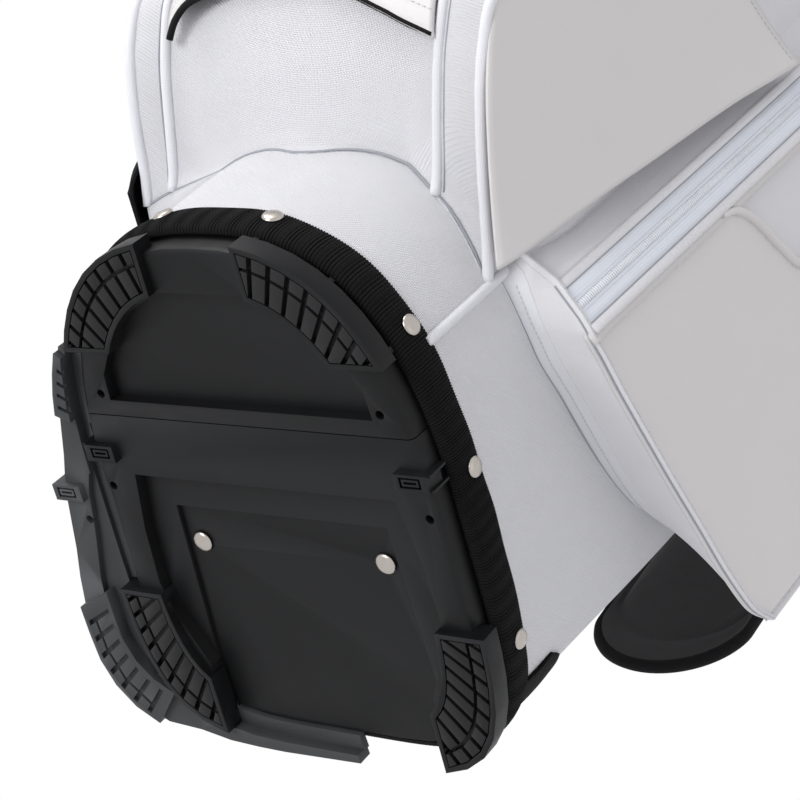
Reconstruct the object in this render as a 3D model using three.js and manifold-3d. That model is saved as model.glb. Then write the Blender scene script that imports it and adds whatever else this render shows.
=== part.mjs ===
// A golf staff bag: a stiff oval fabric tube between a two-piece moulded base and a moulded top cuff,
// with soft pockets round it, full-length club dividers inside, and a shoulder strap on its back.
// Units are millimetres. +Z points up the bag, the floor is z = 0, the bag's front (ball pocket) faces -Y.

import * as THREE from "three";
import { mergeGeometries, mergeVertices } from "three/addons/utils/BufferGeometryUtils.js";
import Module from "manifold-3d";

const wasm = await Module();
wasm.setup();

const radians = THREE.MathUtils.degToRad;
const lerp = THREE.MathUtils.lerp;

// ---------------------------------------------------------------- driving dimensions

const GAP = 0.3; // running clearance between neighbouring pieces
const FACETS = 52; // sides of every piece that follows the bag's outline
const SOFT_GAP = 0.9; // clearance of a soft pocket from the tube it is sewn to

// The bag's oval outline, which grows slowly from the base to the cuff.
const BODY = {
  halfWidth: 98,
  halfDepth: 130,
  widthGrowth: 0.032,
  depthGrowth: 0.012,
  growthStart: 25,
  rearWidening: 0.03,
  frontSquareness: 2.6,
  rearSquareness: 4.5,
};

const TUBE = { bottom: 17, top: 842, wall: 2.4 };

const BASE = {
  railFace: 4, // the rails stand this far above the floor
  panelFace: 10, // underside of the recessed panels
  boardFace: 12.5, // underside of the deeper trapezoid recess
  floorTop: 15,
  wallTop: 62,
  wallInset: 3.1,
  wallThickness: 3,
  skirtInset: 3.2,
  splitY: -41, // the two mouldings meet here
};

// Foot pads: bands that follow the outline, cut square at both ends. x and y are their inner limits.
const FRONT_FOOT = { inner: -22, outer: 2, x: 26, y: 75 };
const REAR_FOOT = { inner: -20, outer: 5, x: 63, y: 54 };
const FOOT = { height: 10, border: 2.4, insertDepth: 5.4, treadDepth: 3, lugs: 10 };

const CLIP = { x: 87, y: -21.8, width: 17, depth: 8.4, face: 0.2 };
const SCREW_HOLE = { radius: 2.2, depth: 4.5, front: [77.5, -52], rear: [88.9, -2.6] };
const FLOOR_RIVET = { x: 52, y: 28.7, headRadius: 5.2, shankRadius: 1.8 };
const TRAPEZOID = { topHalf: 59.5, top: 8.5, bottomHalf: 64, bottom: 96 };

const BAND = { bottom: 14.6, top: 34.5, thickness: 2.6 };
const RIM_RIVET = { z: 27.5, headRadius: 4.7, headHeight: 1.9, shankRadius: 1.6, holeRadius: 1.95 };
const RIM_RIVET_ANGLES = [-77, -44, -9, 36, 69]; // degrees, each with a mirrored one

// Side skid. reach holds [angle, reach beyond the outline] pairs and pads the angles its pads span.
const SKID = {
  bottom: 5,
  top: 13,
  footFace: 1.5,
  inner: 5.5,
  reach: [
    [86, 10], [113, 12.5], [122, 16], [129, 27], [136, 35], [142, 39], [153, 38], [165, 30], [179, 25], [186, 20],
    [198, 15], [206, 13], [218, 9],
  ],
  rim: 15,
  pad: 21,
  pads: [[217, 200], [153, 129]],
  lugPitch: 3.1,
  web: { inner: -2.2, bottom: 10.4, top: 14.2 },
  clip: [-118, 3],
  hole: [-113, 19],
};

const CUFF = { bottom: 815, top: 880, wall: 4.6 };
const DIVIDER = { barHeight: 30, barWidth: 7, sheet: 2, rowY: 46, bottom: 19 };
const STAY = { radius: 4, angles: [148, 32] };

// profile holds [height, front face] pairs. The flap's arched lower edge holds [x, height] pairs.
const BALL_POCKET = {
  half: 100,
  corner: 25,
  back: -74,
  profile: [
    [78, -88], [93, -131], [107, -165], [121, -188], [150, -201],
    [200, -204], [330, -202], [395, -184], [428, -150],
  ],
  arch: [
    [-80, 113], [-76, 120], [-70, 128], [-56, 136], [-35, 139],
    [0, 132], [33, 122], [55, 117], [75, 113],
  ],
  flapHinge: 336,
};
// Leatherette covers beside the ball pocket. rear holds [height, y] pairs of the free rear edge.
const COVER = {
  front: -186,
  rear: [[78, -84], [155, -83.5], [185, -82.5], [270, -78.5], [305, -75.5], [330, -73.5]],
  flatRear: -80,
  frontBottom: 121.6,
  rearBottom: 82,
  frontTop: 312,
  rearTop: 330,
  flare: 22,
};
// bottom holds [y, height] pairs of the lower edge, and face [y, reach from the bag's middle] pairs.
const SIDE_POCKET = {
  front: -72,
  back: 150,
  top: 640,
  bottom: [[-72, 97], [-52, 84], [-10, 98], [30, 110.5], [70, 123.5], [100, 133.5], [128, 147], [144, 162], [150, 170]],
  face: [[-72, 106], [-52, 129], [-10, 135], [30, 139], [90, 144.5], [120, 146], [140, 146], [150, 141]],
  rearInset: [88, 119],
};
const ZIP = { width: 24, thickness: 1.6, bottom: 92, top: 560 };
// Zip slider, and the puller that is hinged on it. lift keeps the slider clear of the crowned zip, and
// pullGap lets the puller's top corner turn past the slider.
const SLIDER = { lift: 1.3, height: 5, pullGap: 0.7, pullThickness: 2.4, pullLength: 44 };
const VALUABLES = { bottom: 448, top: 650, half: 82, front: -178 };

// Shoulder strap: hooked to two level rings on the centre line of the back.
const RING = { radius: 13, wire: 1.9 };
const STRAP = {
  y: 160,
  low: 190,
  high: 790,
  pad: { x: 56, y: 190, z: 350, width: 84, length: 390, thickness: 12, lean: radians(-4) },
};
// Umbrella sleeve: a half-oval in plan, on the outside of the left zip cover.
const UMBRELLA = { x: -103.4, y: -98, reach: 9, front: 26, rear: 19, bottom: 88, top: 320, wall: 1.6 };
const TOWEL_RING = { angle: 200, z: 760, radius: 20, wire: 2 };

const COLOUR = {
  plastic: 0x2f3133,
  paleplastic: 0x55585a,
  rubber: 0x232425,
  webbing: 0x1b1b1c,
  canvas: 0xe2e2ea,
  leatherette: 0xc9c8c7,
  zipTape: 0xd0d7e4,
  metal: 0xb9b2aa,
  dividers: 0x3c3f44,
};

// ---------------------------------------------------------------- outline of the bag

// Point of the bag's outline at an angle seen from above (0 = +X, 90 degrees = the back), at a height,
// moved outwards by offset.
function outline(angle, z, offset = 0) {
  const c = Math.cos(angle);
  const s = Math.sin(angle);
  const rise = z - BODY.growthStart;
  const halfWidth = (BODY.halfWidth + BODY.widthGrowth * rise + offset) * (1 + BODY.rearWidening * s);
  const halfDepth = BODY.halfDepth + BODY.depthGrowth * rise + offset;
  const n = s < 0 ? BODY.frontSquareness : BODY.rearSquareness;
  const reach = (Math.abs(c) / halfWidth) ** n + (Math.abs(s) / halfDepth) ** n;
  const radius = reach ** (-1 / n);
  return new THREE.Vector3(radius * c, radius * s, z);
}

// Outward direction of the outline at an angle.
function outward(angle, z) {
  const step = 0.01;
  const along = outline(angle + step, z).sub(outline(angle - step, z));
  return new THREE.Vector3(along.y, -along.x, 0).normalize();
}

// Angle between two limits at which a coordinate of the outline reaches a value.
function angleAt(axis, value, from, to, z, offset) {
  let low = from;
  let high = to;
  const rising = outline(to, z, offset)[axis] > outline(from, z, offset)[axis];
  for (let step = 0; step < 40; step++) {
    const middle = (low + high) / 2;
    if (outline(middle, z, offset)[axis] > value === rising) high = middle;
    else low = middle;
  }
  return (low + high) / 2;
}

// Value at t of the straight segments through [t, value] knots.
function through(knots, t) {
  const i = Math.max(1, Math.min(knots.length - 1, knots.findIndex(([at]) => at >= t)));
  const [t0, v0] = knots[knots.at(-1)[0] < t ? knots.length - 2 : i - 1];
  const [t1, v1] = knots[knots.at(-1)[0] < t ? knots.length - 1 : i];
  return lerp(v0, v1, THREE.MathUtils.clamp((t - t0) / (t1 - t0), 0, 1));
}

// ---------------------------------------------------------------- geometry helpers

function geometryFrom(points, triangles) {
  const geometry = new THREE.BufferGeometry();
  const position = new Float32Array(points.flatMap((p) => [p.x, p.y, p.z]));
  geometry.setAttribute("position", new THREE.BufferAttribute(position, 3));
  geometry.setIndex(triangles);
  return geometry;
}

// Closed skin through rings of equal length. Caps close the two ends, unless the rings form a loop.
function loft(rings, isLoop = false) {
  const count = rings[0].length;
  const points = rings.flat();
  const triangles = [];
  const spans = isLoop ? rings.length : rings.length - 1;
  for (let i = 0; i < spans; i++) {
    const a = i * count;
    const b = ((i + 1) % rings.length) * count;
    for (let j = 0; j < count; j++) {
      const k = (j + 1) % count;
      triangles.push(a + j, a + k, b + k, a + j, b + k, b + j);
    }
  }
  if (!isLoop) {
    const last = (rings.length - 1) * count;
    for (const [p, q, r] of flatCap(rings[0])) triangles.push(r, q, p);
    for (const [p, q, r] of flatCap(rings.at(-1))) triangles.push(last + p, last + q, last + r);
  }
  return geometryFrom(points, triangles);
}

// Triangles over one ring, found on the plane it lies nearest to.
function flatCap(ring) {
  const normal = new THREE.Vector3();
  ring.forEach((p, i) => normal.add(p.clone().cross(ring[(i + 1) % ring.length])));
  normal.normalize();
  const side = Math.abs(normal.z) > 0.9 ? new THREE.Vector3(1, 0, 0) : new THREE.Vector3(0, 0, 1);
  const u = side.sub(normal.clone().multiplyScalar(side.dot(normal))).normalize();
  const v = normal.clone().cross(u);
  const flat = ring.map((p) => new THREE.Vector2(p.dot(u), p.dot(v)));
  return THREE.ShapeUtils.triangulateShape(flat, []);
}

// A ring that follows the bag's outline with a constant cross-section of [offset, z] pairs.
function sweepOutline(profile) {
  const rings = [];
  for (let i = 0; i < FACETS; i++) {
    const angle = (i / FACETS) * 2 * Math.PI;
    rings.push(profile.map(([offset, z]) => outline(angle, z, offset)));
  }
  return orient(loft(rings, true));
}

// A solid plug that fills the outline between heights, from [offset, z] pairs listed upwards.
function plug(profile) {
  return loft(
    profile.map(([offset, z]) =>
      Array.from({ length: FACETS }, (_, i) => outline((i / FACETS) * 2 * Math.PI, z, offset)),
    ),
  );
}

// A thick sheet between an outer and an inner surface, both given over u and v from 0 to 1.
function sheet(uSteps, vSteps, outer, inner) {
  const rings = [];
  for (let i = 0; i <= uSteps; i++) {
    const u = i / uSteps;
    const ring = [];
    for (let j = 0; j <= vSteps; j++) ring.push(outer(u, j / vSteps));
    for (let j = vSteps; j >= 0; j--) ring.push(inner(u, j / vSteps));
    rings.push(ring);
  }
  return orient(loft(rings));
}

function isInsideOut(geometry) {
  const p = geometry.attributes.position;
  const index = geometry.index.array;
  const corner = (i) => new THREE.Vector3().fromBufferAttribute(p, index[i]);
  let volume = 0;
  for (let i = 0; i < index.length; i += 3) volume += corner(i).dot(corner(i + 1).cross(corner(i + 2)));
  return volume < 0;
}

function orient(geometry) {
  return isInsideOut(geometry) ? flipped(geometry) : geometry;
}

function flipped(geometry) {
  const made = geometry.clone();
  const index = Array.from(made.index.array);
  for (let i = 0; i < index.length; i += 3) [index[i + 1], index[i + 2]] = [index[i + 2], index[i + 1]];
  made.setIndex(index);
  return made;
}

// A vertical prism over [x, y] points.
function prism(points, bottom, top) {
  const shape = new THREE.Shape(points.map(([x, y]) => new THREE.Vector2(x, y)));
  const made = new THREE.ExtrudeGeometry(shape, { depth: top - bottom, bevelEnabled: false });
  return made.translate(0, 0, bottom);
}

function box(x0, x1, y0, y1, z0, z1) {
  const made = new THREE.BoxGeometry(x1 - x0, y1 - y0, z1 - z0);
  return made.translate((x0 + x1) / 2, (y0 + y1) / 2, (z0 + z1) / 2);
}

// A cylinder between two points.
function rod(from, to, radius, sides = 12) {
  const axis = to.clone().sub(from);
  const made = new THREE.CylinderGeometry(radius, radius, axis.length(), sides);
  const turn = new THREE.Quaternion().setFromUnitVectors(new THREE.Vector3(0, 1, 0), axis.normalize());
  made.applyQuaternion(turn);
  const middle = from.clone().add(to).multiplyScalar(0.5);
  return made.translate(middle.x, middle.y, middle.z);
}

// A flat strap of constant section along a smooth path. The strap's width lies along wide.
function strap(path, width, thickness, steps, wide) {
  const curve = new THREE.CatmullRomCurve3(path);
  const rings = [];
  for (let i = 0; i <= steps; i++) {
    const centre = curve.getPointAt(i / steps);
    const along = curve.getTangentAt(i / steps);
    const across = wide.clone().sub(along.clone().multiplyScalar(wide.dot(along))).normalize();
    const up = along.clone().cross(across);
    const at = (a, b) =>
      centre.clone().addScaledVector(across, (a * width) / 2).addScaledVector(up, (b * thickness) / 2);
    rings.push([at(-1, -1), at(1, -1), at(1, 1), at(-1, 1)]);
  }
  return orient(loft(rings));
}

function torus(radius, wire, centre, turn = new THREE.Euler()) {
  const made = new THREE.TorusGeometry(radius, wire, 8, 20);
  made.applyQuaternion(new THREE.Quaternion().setFromEuler(turn));
  return made.translate(centre.x, centre.y, centre.z);
}

function mirrored(geometry) {
  const made = geometry.index ? geometry.clone() : mergeVertices(bare(geometry));
  made.scale(-1, 1, 1);
  return flipped(made);
}

// ---------------------------------------------------------------- joins and cuts

function bare(geometry) {
  const made = geometry.clone();
  for (const name of Object.keys(made.attributes)) if (name !== "position") made.deleteAttribute(name);
  return made;
}

function solid(geometry) {
  const merged = mergeVertices(bare(geometry), 1e-4);
  return new wasm.Manifold(
    new wasm.Mesh({
      numProp: 3,
      vertProperties: new Float32Array(merged.attributes.position.array),
      triVerts: new Uint32Array(merged.index.array),
    }),
  );
}

function skin(manifold) {
  const mesh = manifold.getMesh();
  const geometry = new THREE.BufferGeometry();
  geometry.setAttribute("position", new THREE.BufferAttribute(new Float32Array(mesh.vertProperties), 3));
  geometry.setIndex(Array.from(mesh.triVerts));
  return geometry;
}

function joined(...geometries) {
  return skin(geometries.map(solid).reduce((sum, next) => sum.add(next)));
}

function cut(geometry, ...tools) {
  return skin(tools.map(solid).reduce((rest, tool) => rest.subtract(tool), solid(geometry)));
}

function common(a, b) {
  return skin(solid(a).intersect(solid(b)));
}

// ---------------------------------------------------------------- scene graph

const bag = new THREE.Group();

function add(name, geometry, colour, roughness = 0.6, metalness = 0) {
  const shaded = geometry.clone();
  shaded.computeVertexNormals();
  const mesh = new THREE.Mesh(shaded, new THREE.MeshStandardMaterial({ color: colour, roughness, metalness }));
  mesh.name = name;
  bag.add(mesh);
  return mesh;
}

const SIDES = [
  ["right", (geometry) => geometry],
  ["left", mirrored],
];

// ---------------------------------------------------------------- base

// Plan outline of a foot on the +X side, grown by margin on every edge.
function footPlan(foot, isRear, margin) {
  const steps = 7;
  const sign = isRear ? 1 : -1;
  const end = (sign * Math.PI) / 2;
  const plan = [];
  const xLimit = foot.x - margin;
  const yLimit = sign * (foot.y - margin);
  const edge = (offset, isBackwards) => {
    const start = angleAt("y", yLimit, 0, end, 0, offset);
    const stop = angleAt("x", xLimit, 0, end, 0, offset);
    for (let i = 0; i <= steps; i++) {
      const share = isBackwards ? 1 - i / steps : i / steps;
      const p = outline(lerp(start, stop, share), 0, offset);
      plan.push([p.x, p.y]);
    }
  };
  edge(foot.outer + margin, false);
  edge(foot.inner - margin, true);
  return isRear ? plan : plan.reverse();
}

// Fins that tie the outer wall of a foot to the skirt below the webbing band.
function footFins(foot, isRear, shares) {
  const sign = isRear ? 1 : -1;
  const end = (sign * Math.PI) / 2;
  const start = angleAt("y", sign * foot.y, 0, end, 0, foot.outer);
  const stop = angleAt("x", foot.x, 0, end, 0, foot.outer);
  return shares.map((share) => {
    const angle = lerp(start, stop, share);
    const out = outward(angle, 0);
    const side = new THREE.Vector3(-out.y, out.x, 0);
    const corners = [
      [-BASE.skirtInset - 2, 2],
      [foot.outer - 0.6, 2],
      [0.6, BAND.bottom - 1],
      [-BASE.skirtInset - 2, BAND.bottom - 1],
    ];
    const half = 1.3;
    const ring = (shift) =>
      corners.map(([offset, z]) => outline(angle, z, 0).addScaledVector(out, offset).addScaledVector(side, shift));
    return orient(loft([ring(-half), ring(half)]));
  });
}

function footBlocks(foot, isRear) {
  const frame = cut(
    prism(footPlan(foot, isRear, 0), 0, FOOT.height + 1),
    prism(footPlan(foot, isRear, -FOOT.border), -1, FOOT.insertDepth),
  );
  return [frame, ...footFins(foot, isRear, [0.06, 0.5, 0.94])];
}

// Rubber insert of a foot: a plate with two rows of radial lugs, parted by a groove.
function treadInsert(foot, isRear) {
  const margin = -FOOT.border - GAP;
  const plate = prism(footPlan(foot, isRear, margin), FOOT.treadDepth, FOOT.insertDepth - GAP);
  const limits = prism(footPlan(foot, isRear, margin - 0.2), 0, FOOT.treadDepth + 0.5);
  const sign = isRear ? 1 : -1;
  const first = Math.atan2(sign * foot.y, 105);
  const last = Math.atan2(sign * 128, foot.x);
  const pitch = (last - first) / FOOT.lugs;
  const groove = foot.outer - FOOT.border - 6;
  const rows = [
    [foot.inner, groove - 1.6],
    [groove, foot.outer],
  ];
  const lugs = [];
  for (let i = 0; i < FOOT.lugs; i++) {
    for (const [inner, outer] of rows) {
      const a = first + pitch * (i + 0.14);
      const b = first + pitch * (i + 0.86);
      const ring = [
        outline(a, 0, inner),
        outline(a, 0, outer),
        outline(b, 0, outer),
        outline(b, 0, inner),
      ].map((p) => [p.x, p.y]);
      lugs.push(prism(ring, 0, FOOT.treadDepth + 0.5));
    }
  }
  const trimmed = solid(limits).intersect(lugs.map(solid).reduce((sum, next) => sum.add(next)));
  return skin(trimmed.add(solid(plate)));
}

// Raised clip block centred at x, y with a race-track groove and a slot in its face.
function clipFace(x, y, face, top) {
  const { width, depth } = CLIP;
  const block = box(x - width / 2, x + width / 2, y - depth / 2, y + depth / 2, face, top);
  const groove = box(x - 6, x + 5, y - 2.9, y + 2.3, face - 1, face + 1.8);
  const island = box(x - 4.8, x + 3.8, y - 1.9, y + 1.3, face + 0.1, face + 2.8);
  const slot = box(x - 3.8, x + 2.8, y - 0.9, y + 0.3, face - 1, face + 3.8);
  return cut(joined(cut(block, groove), island), slot);
}

// The base's own clip block stands beside the joint of the mouldings, with ribs up the skirt.
function clipBlock() {
  const { x, y, depth } = CLIP;
  const rib = (shift) => box(90, 97, y + shift - 0.6, y + shift + 0.6, 1.5, BAND.bottom - 0.8);
  const face = clipFace(x, y, CLIP.face, BASE.panelFace + 1);
  return joined(face, rib(-depth / 2 + 0.6), rib(depth / 2 - 0.6));
}

function panelRecesses() {
  const front = [
    [-73, -49], [73, -49], [72, -62], [61, -80], [46, -94], [25, -105],
    [-25, -105], [-46, -94], [-61, -80], [-72, -62],
  ];
  const rear = [
    [-73, -10], [73, -10], [78, 20], [80, 50], [74, 72], [63, 96], [63, 140],
    [-63, 140], [-63, 96], [-74, 72], [-80, 50], [-78, 20],
  ];
  const { topHalf, top, bottomHalf, bottom } = TRAPEZOID;
  const board = [
    [-topHalf, top], [topHalf, top], [bottomHalf, bottom], [bottomHalf, 140],
    [-bottomHalf, 140], [-bottomHalf, bottom],
  ];
  return [
    prism(front, -1, BASE.panelFace),
    prism(rear, -1, BASE.panelFace),
    prism(board, -1, BASE.boardFace),
  ];
}

// Cutters for the rim rivets' holes, one along each rivet's axis.
function rimRivetPlaces() {
  const right = RIM_RIVET_ANGLES.map((angle) => radians(angle));
  return [...right, ...right.map((angle) => Math.PI - angle)];
}

function rimRivetHoles() {
  return rimRivetPlaces().map((angle) => {
    const out = outward(angle, RIM_RIVET.z);
    const at = outline(angle, RIM_RIVET.z);
    const from = at.clone().addScaledVector(out, -14);
    const to = at.clone().addScaledVector(out, 10);
    return rod(from, to, RIM_RIVET.holeRadius, 8);
  });
}

function buildBase() {
  const skirt = -BASE.skirtInset;
  const outer = plug(
    [
      [skirt - 2.4, BASE.railFace],
      [skirt - 0.6, BASE.railFace + 1],
      [skirt, BASE.railFace + 3],
      [skirt, BASE.panelFace + 6.4],
      [-BASE.wallInset, TUBE.bottom],
      [-BASE.wallInset, BASE.wallTop],
    ],
  );
  const inside = -BASE.wallInset - BASE.wallThickness;
  const hollow = plug(
    [
      [inside, BASE.floorTop],
      [inside, BASE.wallTop + 1],
    ],
  );
  const screwHole = ([x, y]) => rod(
    new THREE.Vector3(x, y, -1),
    new THREE.Vector3(x, y, BASE.railFace + SCREW_HOLE.depth),
    SCREW_HOLE.radius,
  );
  let cup = solid(outer);
  for (const recess of panelRecesses()) cup = cup.subtract(solid(recess));
  cup = cup.subtract(solid(hollow));
  for (const [foot, isRear] of [[FRONT_FOOT, false], [REAR_FOOT, true]]) {
    for (const block of footBlocks(foot, isRear)) {
      cup = cup.subtract(solid(prism(footPlan(foot, isRear, -FOOT.border), -1, FOOT.insertDepth)));
      cup = cup.add(solid(block)).add(solid(mirrored(block)));
    }
    const pocket = prism(footPlan(foot, isRear, -FOOT.border), -1, FOOT.insertDepth);
    cup = cup.subtract(solid(pocket)).subtract(solid(mirrored(pocket)));
  }
  const clip = clipBlock();
  cup = cup.add(solid(clip)).add(solid(mirrored(clip)));
  for (const place of [SCREW_HOLE.front, SCREW_HOLE.rear]) {
    cup = cup.subtract(solid(screwHole(place))).subtract(solid(screwHole([-place[0], place[1]])));
  }
  for (const hole of rimRivetHoles()) cup = cup.subtract(solid(hole));
  for (const x of [FLOOR_RIVET.x, -FLOOR_RIVET.x]) cup = cup.subtract(solid(floorRivetHole(x)));
  const far = 400;
  const seam = 0.5;
  const frontHalf = box(-far, far, -far, BASE.splitY - seam / 2, -far, far);
  const rearHalf = box(-far, far, BASE.splitY + seam / 2, far, -far, far);
  add("base_front_shell", skin(cup.intersect(solid(frontHalf))), COLOUR.plastic, 0.55);
  add("base_rear_shell", skin(cup.intersect(solid(rearHalf))), COLOUR.plastic, 0.55);
}

function floorRivetHole(x) {
  const at = (z) => new THREE.Vector3(x, FLOOR_RIVET.y, z);
  return rod(at(5), at(25), FLOOR_RIVET.shankRadius + GAP, 10);
}

function buildFeet() {
  for (const [place, foot, isRear] of [["front", FRONT_FOOT, false], ["rear", REAR_FOOT, true]]) {
    for (const [side, turned] of SIDES) {
      add(`foot_tread_${place}_${side}`, turned(treadInsert(foot, isRear)), COLOUR.rubber, 0.8);
    }
  }
}

// Board inside the cup that the two floor rivets clamp to the base.
function buildFloorBoard() {
  const half = FLOOR_RIVET.x + 12;
  const bottom = BASE.floorTop + GAP;
  const plate = box(-half, half, FLOOR_RIVET.y - 14, FLOOR_RIVET.y + 60, bottom, bottom + 2.5);
  add("inner_floor_board", cut(plate, floorRivetHole(half - 12), floorRivetHole(12 - half)), COLOUR.dividers);
  for (const [side, turned] of SIDES) {
    const profile = [
      [0, BASE.boardFace - 2.6],
      [FLOOR_RIVET.headRadius * 0.6, BASE.boardFace - 2.4],
      [FLOOR_RIVET.headRadius, BASE.boardFace - 1.5],
      [FLOOR_RIVET.headRadius, BASE.boardFace - GAP],
      [FLOOR_RIVET.shankRadius, BASE.boardFace - GAP],
      [FLOOR_RIVET.shankRadius, bottom + 2.8],
      [FLOOR_RIVET.shankRadius * 2, bottom + 2.8],
      [FLOOR_RIVET.shankRadius * 2, bottom + 4],
      [0, bottom + 4],
    ].map(([r, z]) => new THREE.Vector2(r, z));
    const rivet = new THREE.LatheGeometry(profile, 12).rotateX(Math.PI / 2);
    const placed = rivet.translate(FLOOR_RIVET.x, FLOOR_RIVET.y, 0);
    add(`floor_rivet_${side}`, turned(placed), COLOUR.metal, 0.3, 1);
  }
}

// Side skid on the -X side: a lower tier with its own two tread pads, clip block and screw hole.
function buildSkid() {
  const from = radians(SKID.reach.at(-1)[0]);
  const to = radians(SKID.reach[0][0]);
  const { bottom, top, footFace, inner, rim, pad, web } = SKID;
  const reach = (angle) => through(SKID.reach, THREE.MathUtils.radToDeg(angle));
  const shelf = (shift) => (angle) => outline(angle, 0, reach(angle) + shift);
  const edge = (offset) => (angle) => outline(angle, 0, offset);
  const band = (near, far, first, last, low, high) => {
    const steps = Math.ceil(Math.abs(last - first) / radians(6));
    const points = [];
    for (let i = 0; i <= steps; i++) points.push(far(lerp(first, last, i / steps)));
    for (let i = steps; i >= 0; i--) points.push(near(lerp(first, last, i / steps)));
    return prism(points.map((p) => [p.x, p.y]), low, high);
  };
  const degrees = (first, last, near, far, low, high) => band(near, far, radians(first), radians(last), low, high);
  let body = solid(band(edge(inner - 2), shelf(0), from, to, bottom, top));
  body = body.subtract(solid(degrees(184, 134, edge(inner - 3), shelf(-rim), 0, bottom + 3)));
  for (const [first, last] of SKID.pads) {
    body = body.add(solid(degrees(first, last, shelf(-pad), shelf(0), footFace, top)));
  }
  body = body.subtract(solid(plug([[inner, -1], [inner, top + 1]])));
  for (const [first, last] of SKID.pads) {
    const count = Math.round((first - last) / SKID.lugPitch);
    const pitch = (last - first) / count;
    for (let i = 1; i < count; i++) {
      const start = first + pitch * i;
      const groove = degrees(start, start + pitch * 0.3, shelf(-pad + 2.5), shelf(-2.5), 0, footFace + 2);
      body = body.subtract(solid(groove));
    }
    const parting = degrees(first + pitch, last - pitch, shelf(-8.5), shelf(-7), 0, footFace + 2);
    body = body.subtract(solid(parting));
  }
  body = body.add(solid(band(edge(web.inner), edge(inner + 1), from, to, web.bottom, web.top)));
  for (const [foot, isRear] of [[FRONT_FOOT, false], [REAR_FOOT, true]]) {
    body = body.subtract(solid(mirrored(prism(footPlan(foot, isRear, 0.6), -1, 20))));
  }
  body = body.subtract(solid(box(-98, -80, CLIP.y - 10, CLIP.y + 12, -1, 20)));
  const [x, y] = SKID.clip;
  body = body.add(solid(clipFace(x, y, footFace, top)));
  const hole = new THREE.Vector3(...SKID.hole, 0);
  body = body.subtract(solid(rod(hole, hole.clone().setZ(bottom + 4), SCREW_HOLE.radius)));
  add("side_skid", skin(body), COLOUR.paleplastic, 0.6);
}

// ---------------------------------------------------------------- tube, band, rim rivets

function buildTube() {
  const { bottom, top, wall } = TUBE;
  const tube = sweepOutline(
    [
      [0, bottom],
      [0, 120],
      [0, top],
      [-wall, top],
      [-wall, 120],
      [-wall, bottom],
    ],
  );
  add("body_tube", cut(tube, ...rimRivetHoles()), COLOUR.canvas, 0.9);
}

function buildBand() {
  const { bottom, top, thickness } = BAND;
  const lip = -2.4;
  const profile = [
    [GAP, bottom + 2],
    [lip, bottom + 2],
    [lip, bottom + 0.2],
    [0.6, bottom],
    [thickness - 0.6, bottom + 2.5],
    [thickness, bottom + 7],
    [thickness - 0.4, bottom + 13],
    [GAP + 1.4, top],
    [GAP, top],
  ];
  const tabAngle = radians(46);
  const tabOut = outward(tabAngle, 50);
  const tab = strap(
    [28, 45, 64].map((z) => outline(tabAngle, z, 0).addScaledVector(tabOut, 1.25)),
    26,
    1.6,
    4,
    new THREE.Vector3(-tabOut.y, tabOut.x, 0),
  );
  const ring = cut(sweepOutline(profile), ...rimRivetHoles());
  const clear = plug([[GAP, 10], [GAP, 80]]);
  add("webbing_band", joined(ring, cut(tab, clear)), COLOUR.webbing, 0.85);
}

function buildRimRivets() {
  const { z, headRadius, headHeight, shankRadius } = RIM_RIVET;
  const seat = BAND.thickness + GAP;
  const tail = -BASE.wallInset - BASE.wallThickness - 1.2;
  const profile = [
    [0, tail - 1],
    [shankRadius * 1.8, tail],
    [shankRadius, tail],
    [shankRadius, seat],
    [headRadius, seat],
    [headRadius * 0.9, seat + headHeight * 0.7],
    [headRadius * 0.5, seat + headHeight],
    [0, seat + headHeight + 0.1],
  ].map(([r, h]) => new THREE.Vector2(r, h));
  rimRivetPlaces().forEach((angle, i) => {
    const rivet = new THREE.LatheGeometry(profile, 10);
    const turn = new THREE.Quaternion().setFromUnitVectors(new THREE.Vector3(0, 1, 0), outward(angle, z));
    rivet.applyQuaternion(turn);
    const at = outline(angle, z);
    rivet.translate(at.x, at.y, at.z);
    add(`rim_rivet_${i + 1}`, rivet, COLOUR.metal, 0.25, 1);
  });
}

// ---------------------------------------------------------------- cuff, dividers, stays

function buildCuff() {
  const { bottom, top, wall } = CUFF;
  const inner = -TUBE.wall - GAP;
  const shell = sweepOutline([
    [GAP, bottom],
    [wall - 1, bottom],
    [wall, bottom + 3],
    [wall + 1.5, top - 8],
    [wall - 1, top],
    [inner - 2, top],
    [inner - 4, top - 5],
    [inner - 4, bottom + 4],
    [inner, bottom + 4],
    [inner, TUBE.top + GAP],
    [GAP, TUBE.top + GAP],
  ]);
  const handle = (angle, reach) => {
    const out = outward(angle, top);
    const side = new THREE.Vector3(-out.y, out.x, 0);
    const root = outline(angle, top - 24, wall - 1);
    const at = (s, o, u) => root.clone().addScaledVector(side, s).addScaledVector(out, o).setZ(top - 24 + u);
    const path = [
      at(-46, -2, 0), at(-44, reach * 0.7, 3), at(-26, reach, 6), at(0, reach + 3, 8),
      at(26, reach, 6), at(44, reach * 0.7, 3), at(46, -2, 0),
    ];
    const curve = new THREE.CatmullRomCurve3(path);
    const section = new THREE.Shape();
    section.absellipse(0, 0, 8, 5.5, 0, 2 * Math.PI);
    const bar = new THREE.ExtrudeGeometry(section, { steps: 12, curveSegments: 4, extrudePath: curve });
    return cut(bar, plug([[GAP, top - 80], [GAP, top + 20]]));
  };
  add("top_cuff", joined(shell, handle(radians(-90), 26), handle(radians(90), 26)), COLOUR.plastic, 0.5);
}

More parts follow.
